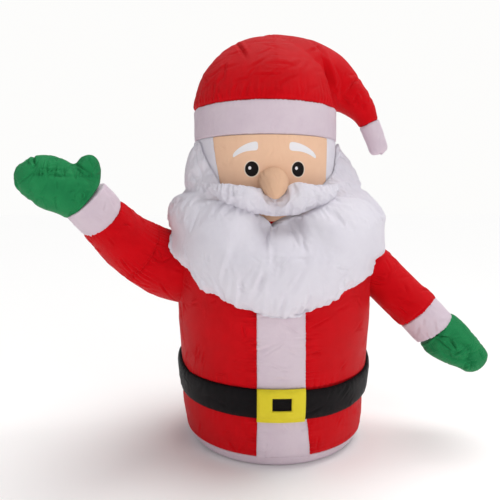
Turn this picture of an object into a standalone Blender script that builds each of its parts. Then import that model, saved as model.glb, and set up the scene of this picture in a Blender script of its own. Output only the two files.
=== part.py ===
# Inflatable santa standing on its flat underside, facing -Y. Metres, +Z up.
import math

import bmesh
import bpy
import numpy as np
from mathutils import Matrix

# Driving sizes
BODY_RADIUS = 0.292
HEAD_RADIUS = 0.209
HEAD_SHIFT = -0.027
GAP = 0.0004
TURN_STEPS = 40
TUBE_SIDES = 20

FOOT_RADIUS = 0.245
SEAM_HEIGHT = 0.034
COAT_TOP = 0.64
BELT_LOW = 0.148
BELT_HIGH = 0.228
BELT_PROUD = 0.013
STRIPE_WIDTH = 0.124
STRIPE_DEPTH = 0.006
BUCKLE_WIDTH = 0.126
BUCKLE_LOW = 0.141
BUCKLE_HIGH = 0.231
BUCKLE_BORDER = 0.031
BUCKLE_SIDE = 0.039
BUCKLE_PROUD = 0.007
BAND_LOW = 0.888
BAND_HIGH = 0.976
PANEL_LOW = COAT_TOP + 0.005
PANEL_DEPTH = 0.006
PANEL_HALF_ANGLE = 49.5

RED = (0.58, 0.008, 0.014, 1.0)
WHITE = (0.72, 0.68, 0.72, 1.0)
SKIN = (0.75, 0.42, 0.27, 1.0)
GREEN = (0.025, 0.21, 0.08, 1.0)
BLACK = (0.012, 0.011, 0.011, 1.0)
YELLOW = (0.75, 0.55, 0.02, 1.0)


def clear_scene():
    for item in list(bpy.data.objects):
        bpy.data.objects.remove(item, do_unlink=True)


def new_collection(name, hidden):
    group = bpy.data.collections.new(name)
    bpy.context.scene.collection.children.link(group)
    group.hide_render = hidden
    return group


clear_scene()
parts = new_collection("inflatable_santa", False)
cutters = new_collection("cutters", True)


def link(item, group):
    group.objects.link(item)
    if group is cutters:
        item.hide_render = True
        item.display_type = "WIRE"
    return item


def paint(item, colour):
    cloth = bpy.data.materials.new(item.name + "_cloth")
    cloth.use_nodes = True
    surface = cloth.node_tree.nodes["Principled BSDF"]
    surface.inputs["Base Color"].default_value = colour
    surface.inputs["Roughness"].default_value = 0.55
    item.data.materials.clear()
    item.data.materials.append(cloth)
    item.data.shade_smooth()
    item.data.set_sharp_from_angle(angle=math.radians(50))


def face_outward(mesh):
    work = bmesh.new()
    work.from_mesh(mesh)
    bmesh.ops.recalc_face_normals(work, faces=work.faces)
    work.to_mesh(mesh)
    work.free()


def mesh_object(name, points, faces, group=parts):
    mesh = bpy.data.meshes.new(name)
    mesh.from_pydata([tuple(p) for p in points], [], [tuple(f) for f in faces])
    face_outward(mesh)
    return link(bpy.data.objects.new(name, mesh), group)


def finished_mesh(item):
    graph = bpy.context.evaluated_depsgraph_get()
    return bpy.data.meshes.new_from_object(item.evaluated_get(graph))


def apply_modifiers(item):
    old = item.data
    item.data = finished_mesh(item)
    item.modifiers.clear()
    bpy.data.meshes.remove(old)
    return item


def spin(name, points, edges, shift, group):
    mesh = bpy.data.meshes.new(name)
    mesh.from_pydata(points, edges, [])
    item = link(bpy.data.objects.new(name, mesh), group)
    screw = item.modifiers.new("turn", "SCREW")
    screw.steps = TURN_STEPS
    screw.render_steps = TURN_STEPS
    screw.use_merge_vertices = True
    screw.merge_threshold = 0.00005
    apply_modifiers(item)
    item.data.transform(Matrix.Translation((shift, 0.0, 0.0)))
    face_outward(item.data)
    return item


# A solid of revolution from a profile listed from the top down, closed on the axis
def turned(name, profile, shift=0.0, group=parts):
    ends = (0.0, 0.0, profile[0][1]), (0.0, 0.0, profile[-1][1])
    points = [ends[0]] + [(r, 0.0, z) for r, z in profile] + [ends[1]]
    return spin(name, points, [(i, i + 1) for i in range(len(points) - 1)], shift, group)


# A ring of revolution from a closed profile listed down the outer side and up the inner side
def turned_ring(name, profile, shift=0.0, group=parts):
    count = len(profile)
    points = [(r, 0.0, z) for r, z in profile]
    return spin(name, points, [(i, (i + 1) % count) for i in range(count)], shift, group)


# A closed loft of ovals, each station a centre, half width and half depth; the guide points along the width
def path_tangents(stations):
    tangents = np.gradient(np.array([s[0] for s in stations], float), axis=0)
    return tangents / np.linalg.norm(tangents, axis=1)[:, None]


def loft(name, stations, guide, sides=TUBE_SIDES, group=parts, tangents=None):
    centres = np.array([s[0] for s in stations], float)
    if tangents is None:
        tangents = path_tangents(stations)
    guide = np.array(guide, float)
    turn = np.arange(sides) * 2 * math.pi / sides
    points = []
    for centre, tangent, station in zip(centres, tangents, stations):
        across = guide - tangent * (guide @ tangent)
        across /= np.linalg.norm(across)
        depth = np.cross(tangent, across)
        ring = np.outer(np.cos(turn) * station[1], across) + np.outer(np.sin(turn) * station[2], depth)
        points.extend(centre + ring)
    faces = []
    for i in range(len(stations) - 1):
        for j in range(sides):
            k = (j + 1) % sides
            faces.append((i * sides + j, i * sides + k, (i + 1) * sides + k, (i + 1) * sides + j))
    last = (len(stations) - 1) * sides
    faces.append(tuple(range(sides))[::-1])
    faces.append(tuple(last + j for j in range(sides)))
    return mesh_object(name, points, faces, group)


def box(name, low, high, group=cutters):
    xs, ys, zs = zip(low, high)
    points = [(x, y, z) for x in xs for y in ys for z in zs]
    faces = [(0, 1, 3, 2), (4, 6, 7, 5), (0, 4, 5, 1), (2, 3, 7, 6), (0, 2, 6, 4), (1, 5, 7, 3)]
    return mesh_object(name, points, faces, group)


def copy_grown(item, amount, name):
    mesh = item.data.copy()
    twin = link(bpy.data.objects.new(name, mesh), cutters)
    normals = np.empty(len(mesh.vertices) * 3)
    mesh.vertices.foreach_get("normal", normals)
    places = np.empty(len(mesh.vertices) * 3)
    mesh.vertices.foreach_get("co", places)
    mesh.vertices.foreach_set("co", places + normals * amount)
    mesh.update()
    return twin


def boolean(item, other, operation):
    cut = item.modifiers.new(operation.lower(), "BOOLEAN")
    cut.operation = operation
    cut.solver = "EXACT"
    cut.object = other
    return apply_modifiers(item)


def cut_clear_of(item, other, gap=GAP):
    return boolean(item, copy_grown(other, gap, other.name + "_grown_for_" + item.name), "DIFFERENCE")


def offset(profile, amount):
    return [(r + amount, z) for r, z in profile]


def radius_at(profile, z):
    heights = [p[1] for p in profile][::-1]
    radii = [p[0] for p in profile][::-1]
    return float(np.interp(z, heights, radii))


# Outer lines of the turned bodies, top down
FULL = BODY_RADIUS
coat_line = [(0.212, COAT_TOP), (0.236, 0.628), (0.262, 0.604), (0.282, 0.57), (0.292, 0.52), (FULL, 0.45),
             (FULL, 0.39), (0.288, 0.31), (0.283, BELT_HIGH + 0.002), (0.278, 0.18), (0.275, BELT_LOW - 0.002),
             (0.275, 0.10), (0.272, 0.060), (0.266, SEAM_HEIGHT)]
head_line = [(HEAD_RADIUS - 0.002, BAND_LOW), (HEAD_RADIUS, 0.874), (HEAD_RADIUS + 0.001, 0.83),
             (HEAD_RADIUS, 0.77), (HEAD_RADIUS - 0.001, 0.70), (HEAD_RADIUS - 0.004, COAT_TOP + GAP)]

coat = turned("coat", coat_line)
base = turned("base_skirt", [(0.2655, SEAM_HEIGHT - GAP), (0.263, 0.024), (0.258, 0.012), (0.253, 0.005),
                             (FOOT_RADIUS, 0.0)])
head = turned("head", head_line, HEAD_SHIFT)
band_line = [(0.203, BAND_HIGH), (0.209, 0.970), (0.2125, 0.955), (0.2135, 0.932), (0.2125, 0.909),
             (0.209, 0.896), (0.205, BAND_LOW + GAP)]
band = turned("hat_band", band_line, HEAD_SHIFT)


# Plain tools a gap larger than the coat and the head, for what is cut to sit against them
coat_room_line = [(coat_line[0][0] + GAP, COAT_TOP + GAP)] + offset(coat_line[1:], GAP)
coat_room = turned("coat_room", coat_room_line, 0.0, cutters)
head_room_line = offset(head_line[:-1], GAP) + [(head_line[-1][0] + GAP, COAT_TOP)]
head_room = turned("head_room", head_room_line, HEAD_SHIFT, cutters)


# A panel let into a turned body: the shell outside the given depth, inside the box
def inlaid(name, body, line, depth, low, high, shift=0.0):
    shell_line = [(r, z) for r, z in line if low[2] < z < high[2]]
    shell_line = [(radius_at(line, high[2]), high[2])] + shell_line + [(radius_at(line, low[2]), low[2])]
    core_line = offset(shell_line, -depth)
    piece = turned_ring(name, shell_line + core_line[::-1], shift)
    boolean(piece, box(name + "_limits", low, high), "INTERSECT")
    reach = 0.02
    pocket_low = (low[0] - GAP, low[1], low[2] - reach if low[2] <= line[-1][1] + 0.001 else low[2] - GAP)
    pocket_high = (high[0] + GAP, high[1], high[2] + reach if high[2] >= line[0][1] - 0.001 else high[2] + GAP)
    outer = [(r + reach, z) for r, z in line]
    inner = [(r - depth - GAP, z) for r, z in line]
    outer = [(outer[0][0], outer[0][1] + reach)] + outer + [(outer[-1][0], outer[-1][1] - reach)]
    inner = [(inner[0][0], inner[0][1] + reach)] + inner + [(inner[-1][0], inner[-1][1] - reach)]
    pocket = turned_ring(name + "_pocket", outer + inner[::-1], shift, cutters)
    boolean(pocket, box(name + "_pocket_limits", pocket_low, pocket_high), "INTERSECT")
    boolean(body, pocket, "DIFFERENCE")
    return piece


half_stripe = STRIPE_WIDTH / 2
stripe = inlaid("front_stripe", coat, coat_line, STRIPE_DEPTH, (-half_stripe, -0.5, SEAM_HEIGHT),
                (half_stripe, -0.1, 0.56))
half_panel = HEAD_RADIUS * math.sin(math.radians(PANEL_HALF_ANGLE))
panel = inlaid("face_panel", head, head_line, PANEL_DEPTH, (HEAD_SHIFT - half_panel, -0.5, PANEL_LOW),
               (HEAD_SHIFT + half_panel, -0.02, BAND_LOW), HEAD_SHIFT)

# Belt: a padded band that hugs the coat, and a buckle frame cut to sit on it
belt_mid = (BELT_LOW + BELT_HIGH) / 2
belt_line = [(radius_at(coat_line, z) + GAP + proud, z) for proud, z in (
    (0.003, BELT_HIGH), (BELT_PROUD * 0.8, BELT_HIGH - 0.010), (BELT_PROUD, belt_mid + 0.014),
    (BELT_PROUD, belt_mid - 0.014), (BELT_PROUD * 0.8, BELT_LOW + 0.010), (0.003, BELT_LOW))]
belt_inner = [(radius_at(coat_line, z) + GAP, z) for z in (BELT_LOW, 0.18, BELT_HIGH)]
belt = turned_ring("belt", belt_line + belt_inner)

buckle_outer = BELT_PROUD + BUCKLE_PROUD
buckle_line = [(radius_at(coat_line, z) + buckle_outer, z) for z in (BUCKLE_HIGH, belt_mid, BUCKLE_LOW)]
buckle_inner = [(radius_at(coat_line, z) + GAP, z) for z in (BUCKLE_LOW, 0.146, 0.18, 0.23, BUCKLE_HIGH)]
buckle = turned_ring("buckle", buckle_line + buckle_inner)
half_buckle = BUCKLE_WIDTH / 2
buckle_limits = box("buckle_limits", (-half_buckle, -0.5, BUCKLE_LOW), (half_buckle, -0.1, BUCKLE_HIGH))
boolean(buckle, buckle_limits, "INTERSECT")
half_hole = half_buckle - BUCKLE_SIDE
hole_low = BUCKLE_LOW + BUCKLE_BORDER - 0.002
hole_high = BUCKLE_HIGH - BUCKLE_BORDER + 0.004
boolean(buckle, box("buckle_hole", (-half_hole, -0.5, hole_low), (half_hole, -0.1, hole_high)), "DIFFERENCE")
cut_clear_of(buckle, belt)

# Arms: sleeve, cuff and mitten share one path, split into pieces at the sewn seams
raised_path = [((-0.200, 0.000, 0.493), 0.100, 0.100), ((-0.260, -0.008, 0.506), 0.104, 0.104),
               ((-0.307, -0.020, 0.520), 0.103, 0.103), ((-0.352, -0.032, 0.540), 0.098, 0.098),
               ((-0.395, -0.050, 0.567), 0.091, 0.091), ((-0.432, -0.076, 0.598), 0.083, 0.083),
               ((-0.461, -0.110, 0.635), 0.074, 0.074), ((-0.486, -0.140, 0.670), 0.066, 0.066),
               ((-0.492, -0.1455, 0.677), 0.0675, 0.067), ((-0.504, -0.153, 0.693), 0.0680, 0.068),
               ((-0.517, -0.161, 0.709), 0.0670, 0.066), ((-0.523, -0.165, 0.716), 0.0645, 0.062),
               ((-0.531, -0.168, 0.7225), 0.0690, 0.063), ((-0.551, -0.174, 0.736), 0.0715, 0.062),
               ((-0.575, -0.181, 0.749), 0.0735, 0.061), ((-0.600, -0.187, 0.759), 0.0740, 0.058),
               ((-0.625, -0.194, 0.767), 0.0690, 0.053), ((-0.648, -0.200, 0.772), 0.0590, 0.045),
               ((-0.667, -0.203, 0.776), 0.0430, 0.034), ((-0.680, -0.205, 0.779), 0.0260, 0.020),
               ((-0.686, -0.206, 0.780), 0.0110, 0.008)]
lowered_path = [((0.200, 0.000, 0.556), 0.068, 0.068), ((0.262, -0.004, 0.537), 0.0700, 0.0700),
                ((0.316, -0.010, 0.500), 0.0700, 0.0700), ((0.344, -0.020, 0.472), 0.0680, 0.0680),
                ((0.371, -0.036, 0.443), 0.0675, 0.0675), ((0.403, -0.048, 0.411), 0.0670, 0.0670),
                ((0.436, -0.060, 0.381), 0.0650, 0.0650), ((0.442, -0.062, 0.3745), 0.066, 0.066),
                ((0.460, -0.067, 0.354), 0.0665, 0.0665), ((0.477, -0.073, 0.335), 0.066, 0.065),
                ((0.483, -0.075, 0.328), 0.0640, 0.0620), ((0.492, -0.077, 0.321), 0.0675, 0.063),
                ((0.520, -0.085, 0.300), 0.0685, 0.0600), ((0.543, -0.090, 0.283), 0.0640, 0.057),
                ((0.564, -0.094, 0.267), 0.0575, 0.0510), ((0.583, -0.098, 0.251), 0.0490, 0.043),
                ((0.600, -0.102, 0.236), 0.0430, 0.0330), ((0.608, -0.104, 0.228), 0.0330, 0.0220),
                ((0.613, -0.105, 0.223), 0.0150, 0.0100)]
UPWARD = (0.6, 0.0, 0.8)
DOWNWARD = (0.7, 0.0, 0.7)


def limb(names, path, seams, guide):
    tangents = path_tangents(path)
    ends = [0] + list(seams) + [len(path) - 1]
    pieces = []
    for name, first, last in zip(names, ends, ends[1:]):
        stations = list(path[first:last + 1])
        if first:
            centre = np.array(stations[0][0]) + tangents[first] * GAP
            stations[0] = (tuple(centre),) + stations[0][1:]
        pieces.append(loft(name, stations, guide, tangents=tangents[first:last + 1]))
    return pieces


raised_sleeve, raised_cuff, raised_mitten = limb(("raised_sleeve", "raised_cuff", "raised_mitten"), raised_path,
                                                 (7, 11), UPWARD)
lowered_sleeve, lowered_cuff, lowered_mitten = limb(("lowered_sleeve", "lowered_cuff", "lowered_mitten"),
                                                    lowered_path, (6, 10), DOWNWARD)

raised_thumb = [((-0.533, -0.172, 0.745), 0.040, 0.036), ((-0.522, -0.174, 0.768), 0.040, 0.037),
                ((-0.513, -0.176, 0.790), 0.0370, 0.034), ((-0.508, -0.178, 0.808), 0.0320, 0.029),
                ((-0.505, -0.180, 0.822), 0.0240, 0.021), ((-0.504, -0.181, 0.830), 0.0150, 0.013),
                ((-0.504, -0.181, 0.834), 0.0060, 0.005)]
boolean(raised_mitten, loft("raised_thumb", raised_thumb, (1.0, 0.0, 0.2), 16, cutters), "UNION")

lowered_thumb = [((0.488, -0.108, 0.302), 0.022, 0.020), ((0.503, -0.122, 0.294), 0.0260, 0.023),
                 ((0.522, -0.132, 0.284), 0.0270, 0.024), ((0.541, -0.134, 0.272), 0.0230, 0.020),
                 ((0.553, -0.130, 0.264), 0.0150, 0.013), ((0.559, -0.126, 0.259), 0.0060, 0.005)]
boolean(lowered_mitten, loft("lowered_thumb", lowered_thumb, DOWNWARD, 14, cutters), "UNION")

cut_clear_of(raised_mitten, raised_cuff)
for sleeve in (raised_sleeve, lowered_sleeve):
    boolean(sleeve, coat_room, "DIFFERENCE")

def round_stations(path):
    return [(centre, radius, radius) for centre, radius in path]


# Hat: a dome leaning into one broad tail that bends over and hangs at the side
dome_line = [(0.020, 1.188), (0.058, 1.181), (0.092, 1.167), (0.128, 1.144), (0.163, 1.110), (0.192, 1.064),
             (0.206, 1.014), (0.207, 0.988), (0.203, BAND_HIGH + GAP)]
crown = turned("hat_crown", dome_line, HEAD_SHIFT)
tail_path = [((-0.040, 0.0, 1.050), 0.120), ((0.000, 0.0, 1.062), 0.138), ((0.060, 0.0, 1.074), 0.124),
             ((0.118, 0.0, 1.076), 0.105), ((0.160, -0.002, 1.068), 0.087), ((0.194, -0.004, 1.051), 0.070),
             ((0.222, -0.006, 1.030), 0.056), ((0.249, -0.008, 1.006), 0.046), ((0.270, -0.009, 0.981), 0.038),
             ((0.281, -0.010, 0.960), 0.033), ((0.2875, -0.010, 0.9465), 0.030)]
tip_path = [((0.2877, -0.010, 0.9461), 0.0285), ((0.2942, -0.010, 0.9326), 0.0300),
            ((0.302, -0.010, 0.914), 0.0295), ((0.309, -0.010, 0.897), 0.0285), ((0.3145, -0.010, 0.882), 0.0270),
            ((0.3185, -0.010, 0.870), 0.0240), ((0.321, -0.010, 0.862), 0.0170), ((0.322, -0.010, 0.8585), 0.0075)]
boolean(crown, loft("hat_tail", round_stations(tail_path), (0.3, 0.0, 1.0), TUBE_SIDES, cutters), "UNION")
boolean(crown, box("band_room", (-0.4, -0.4, 0.88), (0.215 + HEAD_SHIFT, 0.4, BAND_HIGH + GAP)), "DIFFERENCE")
hat_tip = loft("hat_tip", round_stations(tip_path), (0.3, 0.0, 1.0))

# Beard: upright sections round the front, each a bulging outer line and a plain inner line
angles = np.array([0, 12, 25, 38, 48, 57, 67, 77, 88, 99])
beard_low = np.array([0.420, 0.434, 0.455, 0.476, 0.502, 0.520, 0.538, 0.560, 0.620, 0.715])
beard_high = np.array([0.664, 0.672, 0.700, 0.752, 0.815, 0.862, 0.884, 0.880, 0.850, 0.795])
beard_puff = np.array([0.050, 0.050, 0.048, 0.045, 0.042, 0.040, 0.038, 0.036, 0.030, 0.016])
beard_sides = [-a for a in angles[:0:-1]] + list(angles)


def beard_inner(z):
    return float(np.interp(z, (0.55, 0.62), (BODY_RADIUS - 0.022, HEAD_RADIUS - 0.020)))


def beard_section(angle):
    size = abs(angle)
    low = float(np.interp(size, angles, beard_low))
    high = float(np.interp(size, angles, beard_high))
    puff = float(np.interp(size, angles, beard_puff))
    outer_line = []
    for share in np.linspace(0.0, 1.0, 11):
        z = low + (high - low) * share
        bulge = puff * max(0.0, math.sin(math.pi * share)) ** 0.4
        waist = 0.030 * math.exp(-((z - 0.742) / 0.022) ** 2) * min(1.0, size / 40.0)
        base = float(np.interp(z, (0.55, 0.66, 0.74, 0.83, 0.90), (0.302, 0.292, 0.246, 0.222, 0.206)))
        outer_line.append((base + bulge - waist * math.sin(math.pi * share), z))
    inner_line = []
    for share in np.linspace(1.0, 0.0, 3):
        z = low + (high - low) * (0.04 + 0.92 * share)
        inner_line.append((min(beard_inner(z), outer_line[0][0] - 0.012), z))
    section = outer_line + inner_line
    turn = math.radians(angle)
    return [(float(np.interp(z, (0.62, 0.82), (0.005, -0.010))) + r * math.sin(turn), -r * math.cos(turn), z)
            for r, z in section]


def section_loft(name, sections, group=parts):
    count = len(sections[0])
    points = [p for section in sections for p in section]
    faces = []
    for i in range(len(sections) - 1):
        for j in range(count):
            k = (j + 1) % count
            faces.append((i * count + j, (i + 1) * count + j, (i + 1) * count + k, i * count + k))
    last = (len(sections) - 1) * count
    faces.append(tuple(range(count)))
    faces.append(tuple(last + j for j in range(count))[::-1])
    return mesh_object(name, points, faces, group)


beard = section_loft("beard", [beard_section(float(a)) for a in np.linspace(-99.0, 99.0, 29)])
for room in (coat_room, head_room):
    boolean(beard, room, "DIFFERENCE")
for sleeve in (raised_sleeve, lowered_sleeve):
    cut_clear_of(beard, sleeve)


# Moustache: two pointed lobes swept round the face, thick between tip and middle
def moustache_station(angle):
    size = abs(angle) if angle < 0 else angle * 37.0 / 42.0
    middle = float(np.interp(size, (0, 4, 10, 20, 30, 37), (0.688, 0.696, 0.712, 0.727, 0.745, 0.764)))
    half = float(np.interp(size, (0, 4, 10, 20, 30, 34, 37), (0.017, 0.026, 0.034, 0.033, 0.021, 0.013, 0.004)))
    thick = min(half, 0.034) - 0.001
    reach = float(np.interp(size, (0, 10, 20, 30, 37), (0.262, 0.268, 0.270, 0.266, 0.258)))
    turn = math.radians(angle)
    return (HEAD_SHIFT + reach * math.sin(turn), -reach * math.cos(turn), middle), half, thick


moustache_stations = [moustache_station(float(a)) for a in np.linspace(-37.0, 42.0, 19)]
moustache = loft("moustache", moustache_stations, (0.0, 0.0, 1.0), 14)
boolean(moustache, head_room, "DIFFERENCE")
cut_clear_of(moustache, beard)

# Nose: a stuffed cone that droops to a point over the moustache
NOSE_SHIFT = HEAD_SHIFT + 0.005
nose_stations = [((NOSE_SHIFT, -0.196, 0.763), 0.0345, 0.0345), ((NOSE_SHIFT, -0.214, 0.761), 0.0375, 0.0375),
                 ((NOSE_SHIFT, -0.232, 0.757), 0.0375, 0.0360), ((NOSE_SHIFT, -0.252, 0.750), 0.0330, 0.0310),
                 ((NOSE_SHIFT, -0.271, 0.740), 0.0250, 0.0230), ((NOSE_SHIFT, -0.284, 0.729), 0.0150, 0.0140),
                 ((NOSE_SHIFT, -0.290, 0.721), 0.0060, 0.0060)]
nose = loft("nose", nose_stations, (1.0, 0.0, 0.0), 16)
boolean(nose, head_room, "DIFFERENCE")
cut_clear_of(nose, moustache)


for item in (base, stripe, head, moustache, beard, band, hat_tip, raised_cuff, lowered_cuff):
    paint(item, WHITE)
for item in (coat, crown, raised_sleeve, lowered_sleeve):
    paint(item, RED)
for item in (raised_mitten, lowered_mitten):
    paint(item, GREEN)
for item in (panel, nose):
    paint(item, SKIN)
paint(belt, BLACK)
paint(buckle, YELLOW)
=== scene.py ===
import math
import bpy
import numpy as np
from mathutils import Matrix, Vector


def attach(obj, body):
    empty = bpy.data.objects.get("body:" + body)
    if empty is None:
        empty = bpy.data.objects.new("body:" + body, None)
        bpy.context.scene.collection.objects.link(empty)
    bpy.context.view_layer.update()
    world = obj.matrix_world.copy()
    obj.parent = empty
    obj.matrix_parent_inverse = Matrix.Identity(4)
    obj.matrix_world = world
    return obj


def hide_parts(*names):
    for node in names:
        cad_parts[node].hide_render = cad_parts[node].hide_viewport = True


# Air-filled santa of thin nylon. The figure faces -Y, metres throughout.
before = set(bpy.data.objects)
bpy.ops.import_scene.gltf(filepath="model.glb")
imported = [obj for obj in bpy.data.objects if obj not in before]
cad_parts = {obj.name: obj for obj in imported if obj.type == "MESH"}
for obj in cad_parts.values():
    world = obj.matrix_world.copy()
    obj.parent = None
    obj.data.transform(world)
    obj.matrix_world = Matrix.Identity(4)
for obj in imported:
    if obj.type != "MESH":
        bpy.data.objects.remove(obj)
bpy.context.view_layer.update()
print("frame loaded:", len(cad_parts), "nodes")

# Camera and lights
camera = {"lens": 36.0, "sensor": 36.0, "distance": 1.54, "azimuth": -5.5, "height": 0.705,
          "down": 5.256, "heading": 2.809}
studio = {"seen": (0.982, 0.978, 0.968, 1.0), "light": (0.95, 0.97, 1.0, 1.0), "strength": 0.33,
          "lamps": (("key", (1.6, -2.2, 1.9), 1.4, 13.5), ("fill", (-2.2, -2.2, 1.7), 2.0, 2.5),
                    ("front", (0.0, -3.2, 0.75), 1.6, 12.0)),
          "sun": 2.28, "sunTurn": (-10.0, 16.0), "sunSpread": 50.0, "floorSize": 60.0,
          "floorColour": (1.0, 0.99, 0.975, 1.0)}


def setCamera(spec):
    lens = bpy.data.cameras.new("camera")
    lens.lens = spec["lens"]
    lens.sensor_width = spec["sensor"]
    eye = bpy.data.objects.new("camera", lens)
    turn = math.radians(spec["azimuth"])
    eye.location = (spec["distance"] * math.sin(turn), -spec["distance"] * math.cos(turn), spec["height"])
    eye.rotation_euler = (math.radians(90 - spec["down"]), 0.0, -math.radians(spec["heading"]))
    bpy.context.scene.collection.objects.link(eye)
    bpy.context.scene.camera = eye


def setLights(spec):
    world = bpy.data.worlds.new("studio")
    bpy.context.scene.world = world
    world.use_nodes = True
    # the camera sees plain white paper, and the figure gets a softer sky
    tree = world.node_tree
    sky = tree.nodes["Background"]
    sky.inputs["Color"].default_value = spec["light"]
    sky.inputs["Strength"].default_value = spec["strength"]
    paper = tree.nodes.new("ShaderNodeBackground")
    paper.inputs["Color"].default_value = spec["seen"]
    rays = tree.nodes.new("ShaderNodeLightPath")
    either = tree.nodes.new("ShaderNodeMixShader")
    tree.links.new(rays.outputs["Is Camera Ray"], either.inputs["Fac"])
    tree.links.new(sky.outputs["Background"], either.inputs[1])
    tree.links.new(paper.outputs["Background"], either.inputs[2])
    tree.links.new(either.outputs["Shader"], tree.nodes["World Output"].inputs["Surface"])
    noon = bpy.data.lights.new("noon", "SUN")
    noon.energy = spec["sun"]
    noon.angle = math.radians(spec["sunSpread"])
    high = bpy.data.objects.new("noon", noon)
    high.rotation_euler = (math.radians(spec["sunTurn"][0]), math.radians(spec["sunTurn"][1]), 0.0)
    bpy.context.scene.collection.objects.link(high)
    for name, place, size, power in spec["lamps"]:
        light = bpy.data.lights.new(name, "AREA")
        light.size = size
        light.energy = power
        lamp = bpy.data.objects.new(name, light)
        lamp.location = place
        lamp.rotation_euler = (Vector((0.0, 0.0, 0.62)) - Vector(place)).to_track_quat("-Z", "Y").to_euler()
        bpy.context.scene.collection.objects.link(lamp)


setCamera(camera)
setLights(studio)
bpy.context.scene.view_settings.view_transform = "Standard"
bpy.context.scene.view_settings.look = "None"
print("camera and lights set")


# Shader maths
class Signal:
    # one shader socket, so that sums and products of signals add their own Math nodes
    def __init__(self, cloth, socket):
        self.cloth = cloth
        self.socket = socket

    def maths(self, operation, first, second=None, third=None):
        values = {0: first}
        if second is not None:
            values[1] = second
        if third is not None:
            values[2] = third
        return self.cloth.node("ShaderNodeMath", {"operation": operation}, values)

    def __add__(self, other):
        return self.maths("ADD", self, other)

    def __radd__(self, other):
        return self.maths("ADD", other, self)

    def __sub__(self, other):
        return self.maths("SUBTRACT", self, other)

    def __rsub__(self, other):
        return self.maths("SUBTRACT", other, self)

    def __mul__(self, other):
        return self.maths("MULTIPLY", self, other)

    def __rmul__(self, other):
        return self.maths("MULTIPLY", other, self)

    def __truediv__(self, other):
        return self.maths("DIVIDE", self, other)

    def __abs__(self):
        return self.maths("ABSOLUTE", self)

    def top(self, other):
        return self.maths("MAXIMUM", self, other)

    def low(self, other):
        return self.maths("MINIMUM", self, other)

    def below(self, edge, soft):
        # 1 where the signal is under the edge, 0 above it, over a soft step
        return self.cloth.node("ShaderNodeMapRange", {"interpolation_type": "SMOOTHSTEP"},
                               {0: self, 1: edge - soft, 2: edge + soft, 3: 1.0, 4: 0.0})


class Cloth:
    # one material and the one way that its nodes are made
    def __init__(self, name, roughness, sheen):
        self.material = bpy.data.materials.new(name)
        self.material.use_nodes = True
        self.tree = self.material.node_tree
        self.surface = self.tree.nodes["Principled BSDF"]
        self.surface.inputs["Sheen Weight"].default_value = sheen
        self.surface.inputs["Sheen Roughness"].default_value = 0.4
        self.surface.inputs["Specular IOR Level"].default_value = 0.07
        self.roughness = roughness

    def node(self, kind, settings=None, values=None, output=0):
        made = self.tree.nodes.new(kind)
        for key, value in (settings or {}).items():
            if key == "stops":
                ramp = made.color_ramp.elements
                while len(ramp) < len(value):
                    ramp.new(0.5)
                for stop, (place, colour) in zip(ramp, value):
                    stop.position = place
                    stop.color = colour
            else:
                setattr(made, key, value)
        for key, value in (values or {}).items():
            if isinstance(value, Signal):
                self.tree.links.new(value.socket, made.inputs[key])
            else:
                made.inputs[key].default_value = value
        return Signal(self, made.outputs[output])

    def feed(self, name, signal):
        self.tree.links.new(signal.socket, self.surface.inputs[name])

    def place(self):
        return self.node("ShaderNodeTexCoord", output="Object")

    def noise(self, where, scale, detail=3.0, rough=0.5, stretch=(1.0, 1.0, 1.0), twist=0.0):
        if stretch != (1.0, 1.0, 1.0):
            where = self.node("ShaderNodeMapping", {}, {"Vector": where, "Scale": stretch})
        return self.node("ShaderNodeTexNoise", {}, {"Vector": where, "Scale": scale, "Detail": detail,
                                                    "Roughness": rough, "Distortion": twist}, "Fac")

    def mix(self, share, first, second):
        return self.node("ShaderNodeMix", {"data_type": "RGBA"}, {0: share, 6: first, 7: second}, 2)


nylon = {"weaveScale": 620.0, "weaveBump": 0.05, "crinkleScale": 55.0, "crinkleBump": 0.75,
         "fineScale": 210.0}


def nylonBase(cloth, colour, shade, bump=1.0):
    # slow tone changes, a crumpled bump and a fine square weave on Object coordinates
    where = cloth.place()
    slow = cloth.noise(where, 5.0, 3.0)
    fine = cloth.noise(where, 34.0, 4.0, 0.6)
    tone = cloth.node("ShaderNodeMapRange", {}, {0: slow * 0.65 + fine * 0.35, 1: 0.34, 2: 0.66})
    painted = cloth.mix(tone, shade, colour)
    crumple = cloth.noise(where, nylon["crinkleScale"], 5.0, 0.62, (1.0, 1.0, 0.45), 0.8)
    grain = cloth.noise(where, nylon["fineScale"], 3.0, 0.6)
    threads = [cloth.node("ShaderNodeTexWave",
                          {"wave_type": "BANDS", "bands_direction": axis, "wave_profile": "SIN"},
                          {"Vector": where, "Scale": nylon["weaveScale"]}, "Fac") for axis in ("X", "Y", "Z")]
    height = (abs(crumple - 0.5) * -1.0 + grain * 0.16
              + (threads[0] + threads[1] + threads[2]) * nylon["weaveBump"])
    normal = cloth.node("ShaderNodeBump", {}, {"Strength": nylon["crinkleBump"] * bump, "Distance": 0.006,
                                               "Height": height}, "Normal")
    cloth.feed("Normal", normal)
    rough = slow * 0.10 + grain * 0.08 + (cloth.roughness - 0.09)
    cloth.feed("Roughness", rough)
    return painted


def plainNylon(name, colour, shade, roughness=0.46, sheen=0.015, bump=1.0):
    cloth = Cloth(name, roughness, sheen)
    cloth.feed("Base Color", nylonBase(cloth, colour, shade, bump))
    return cloth.material


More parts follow.
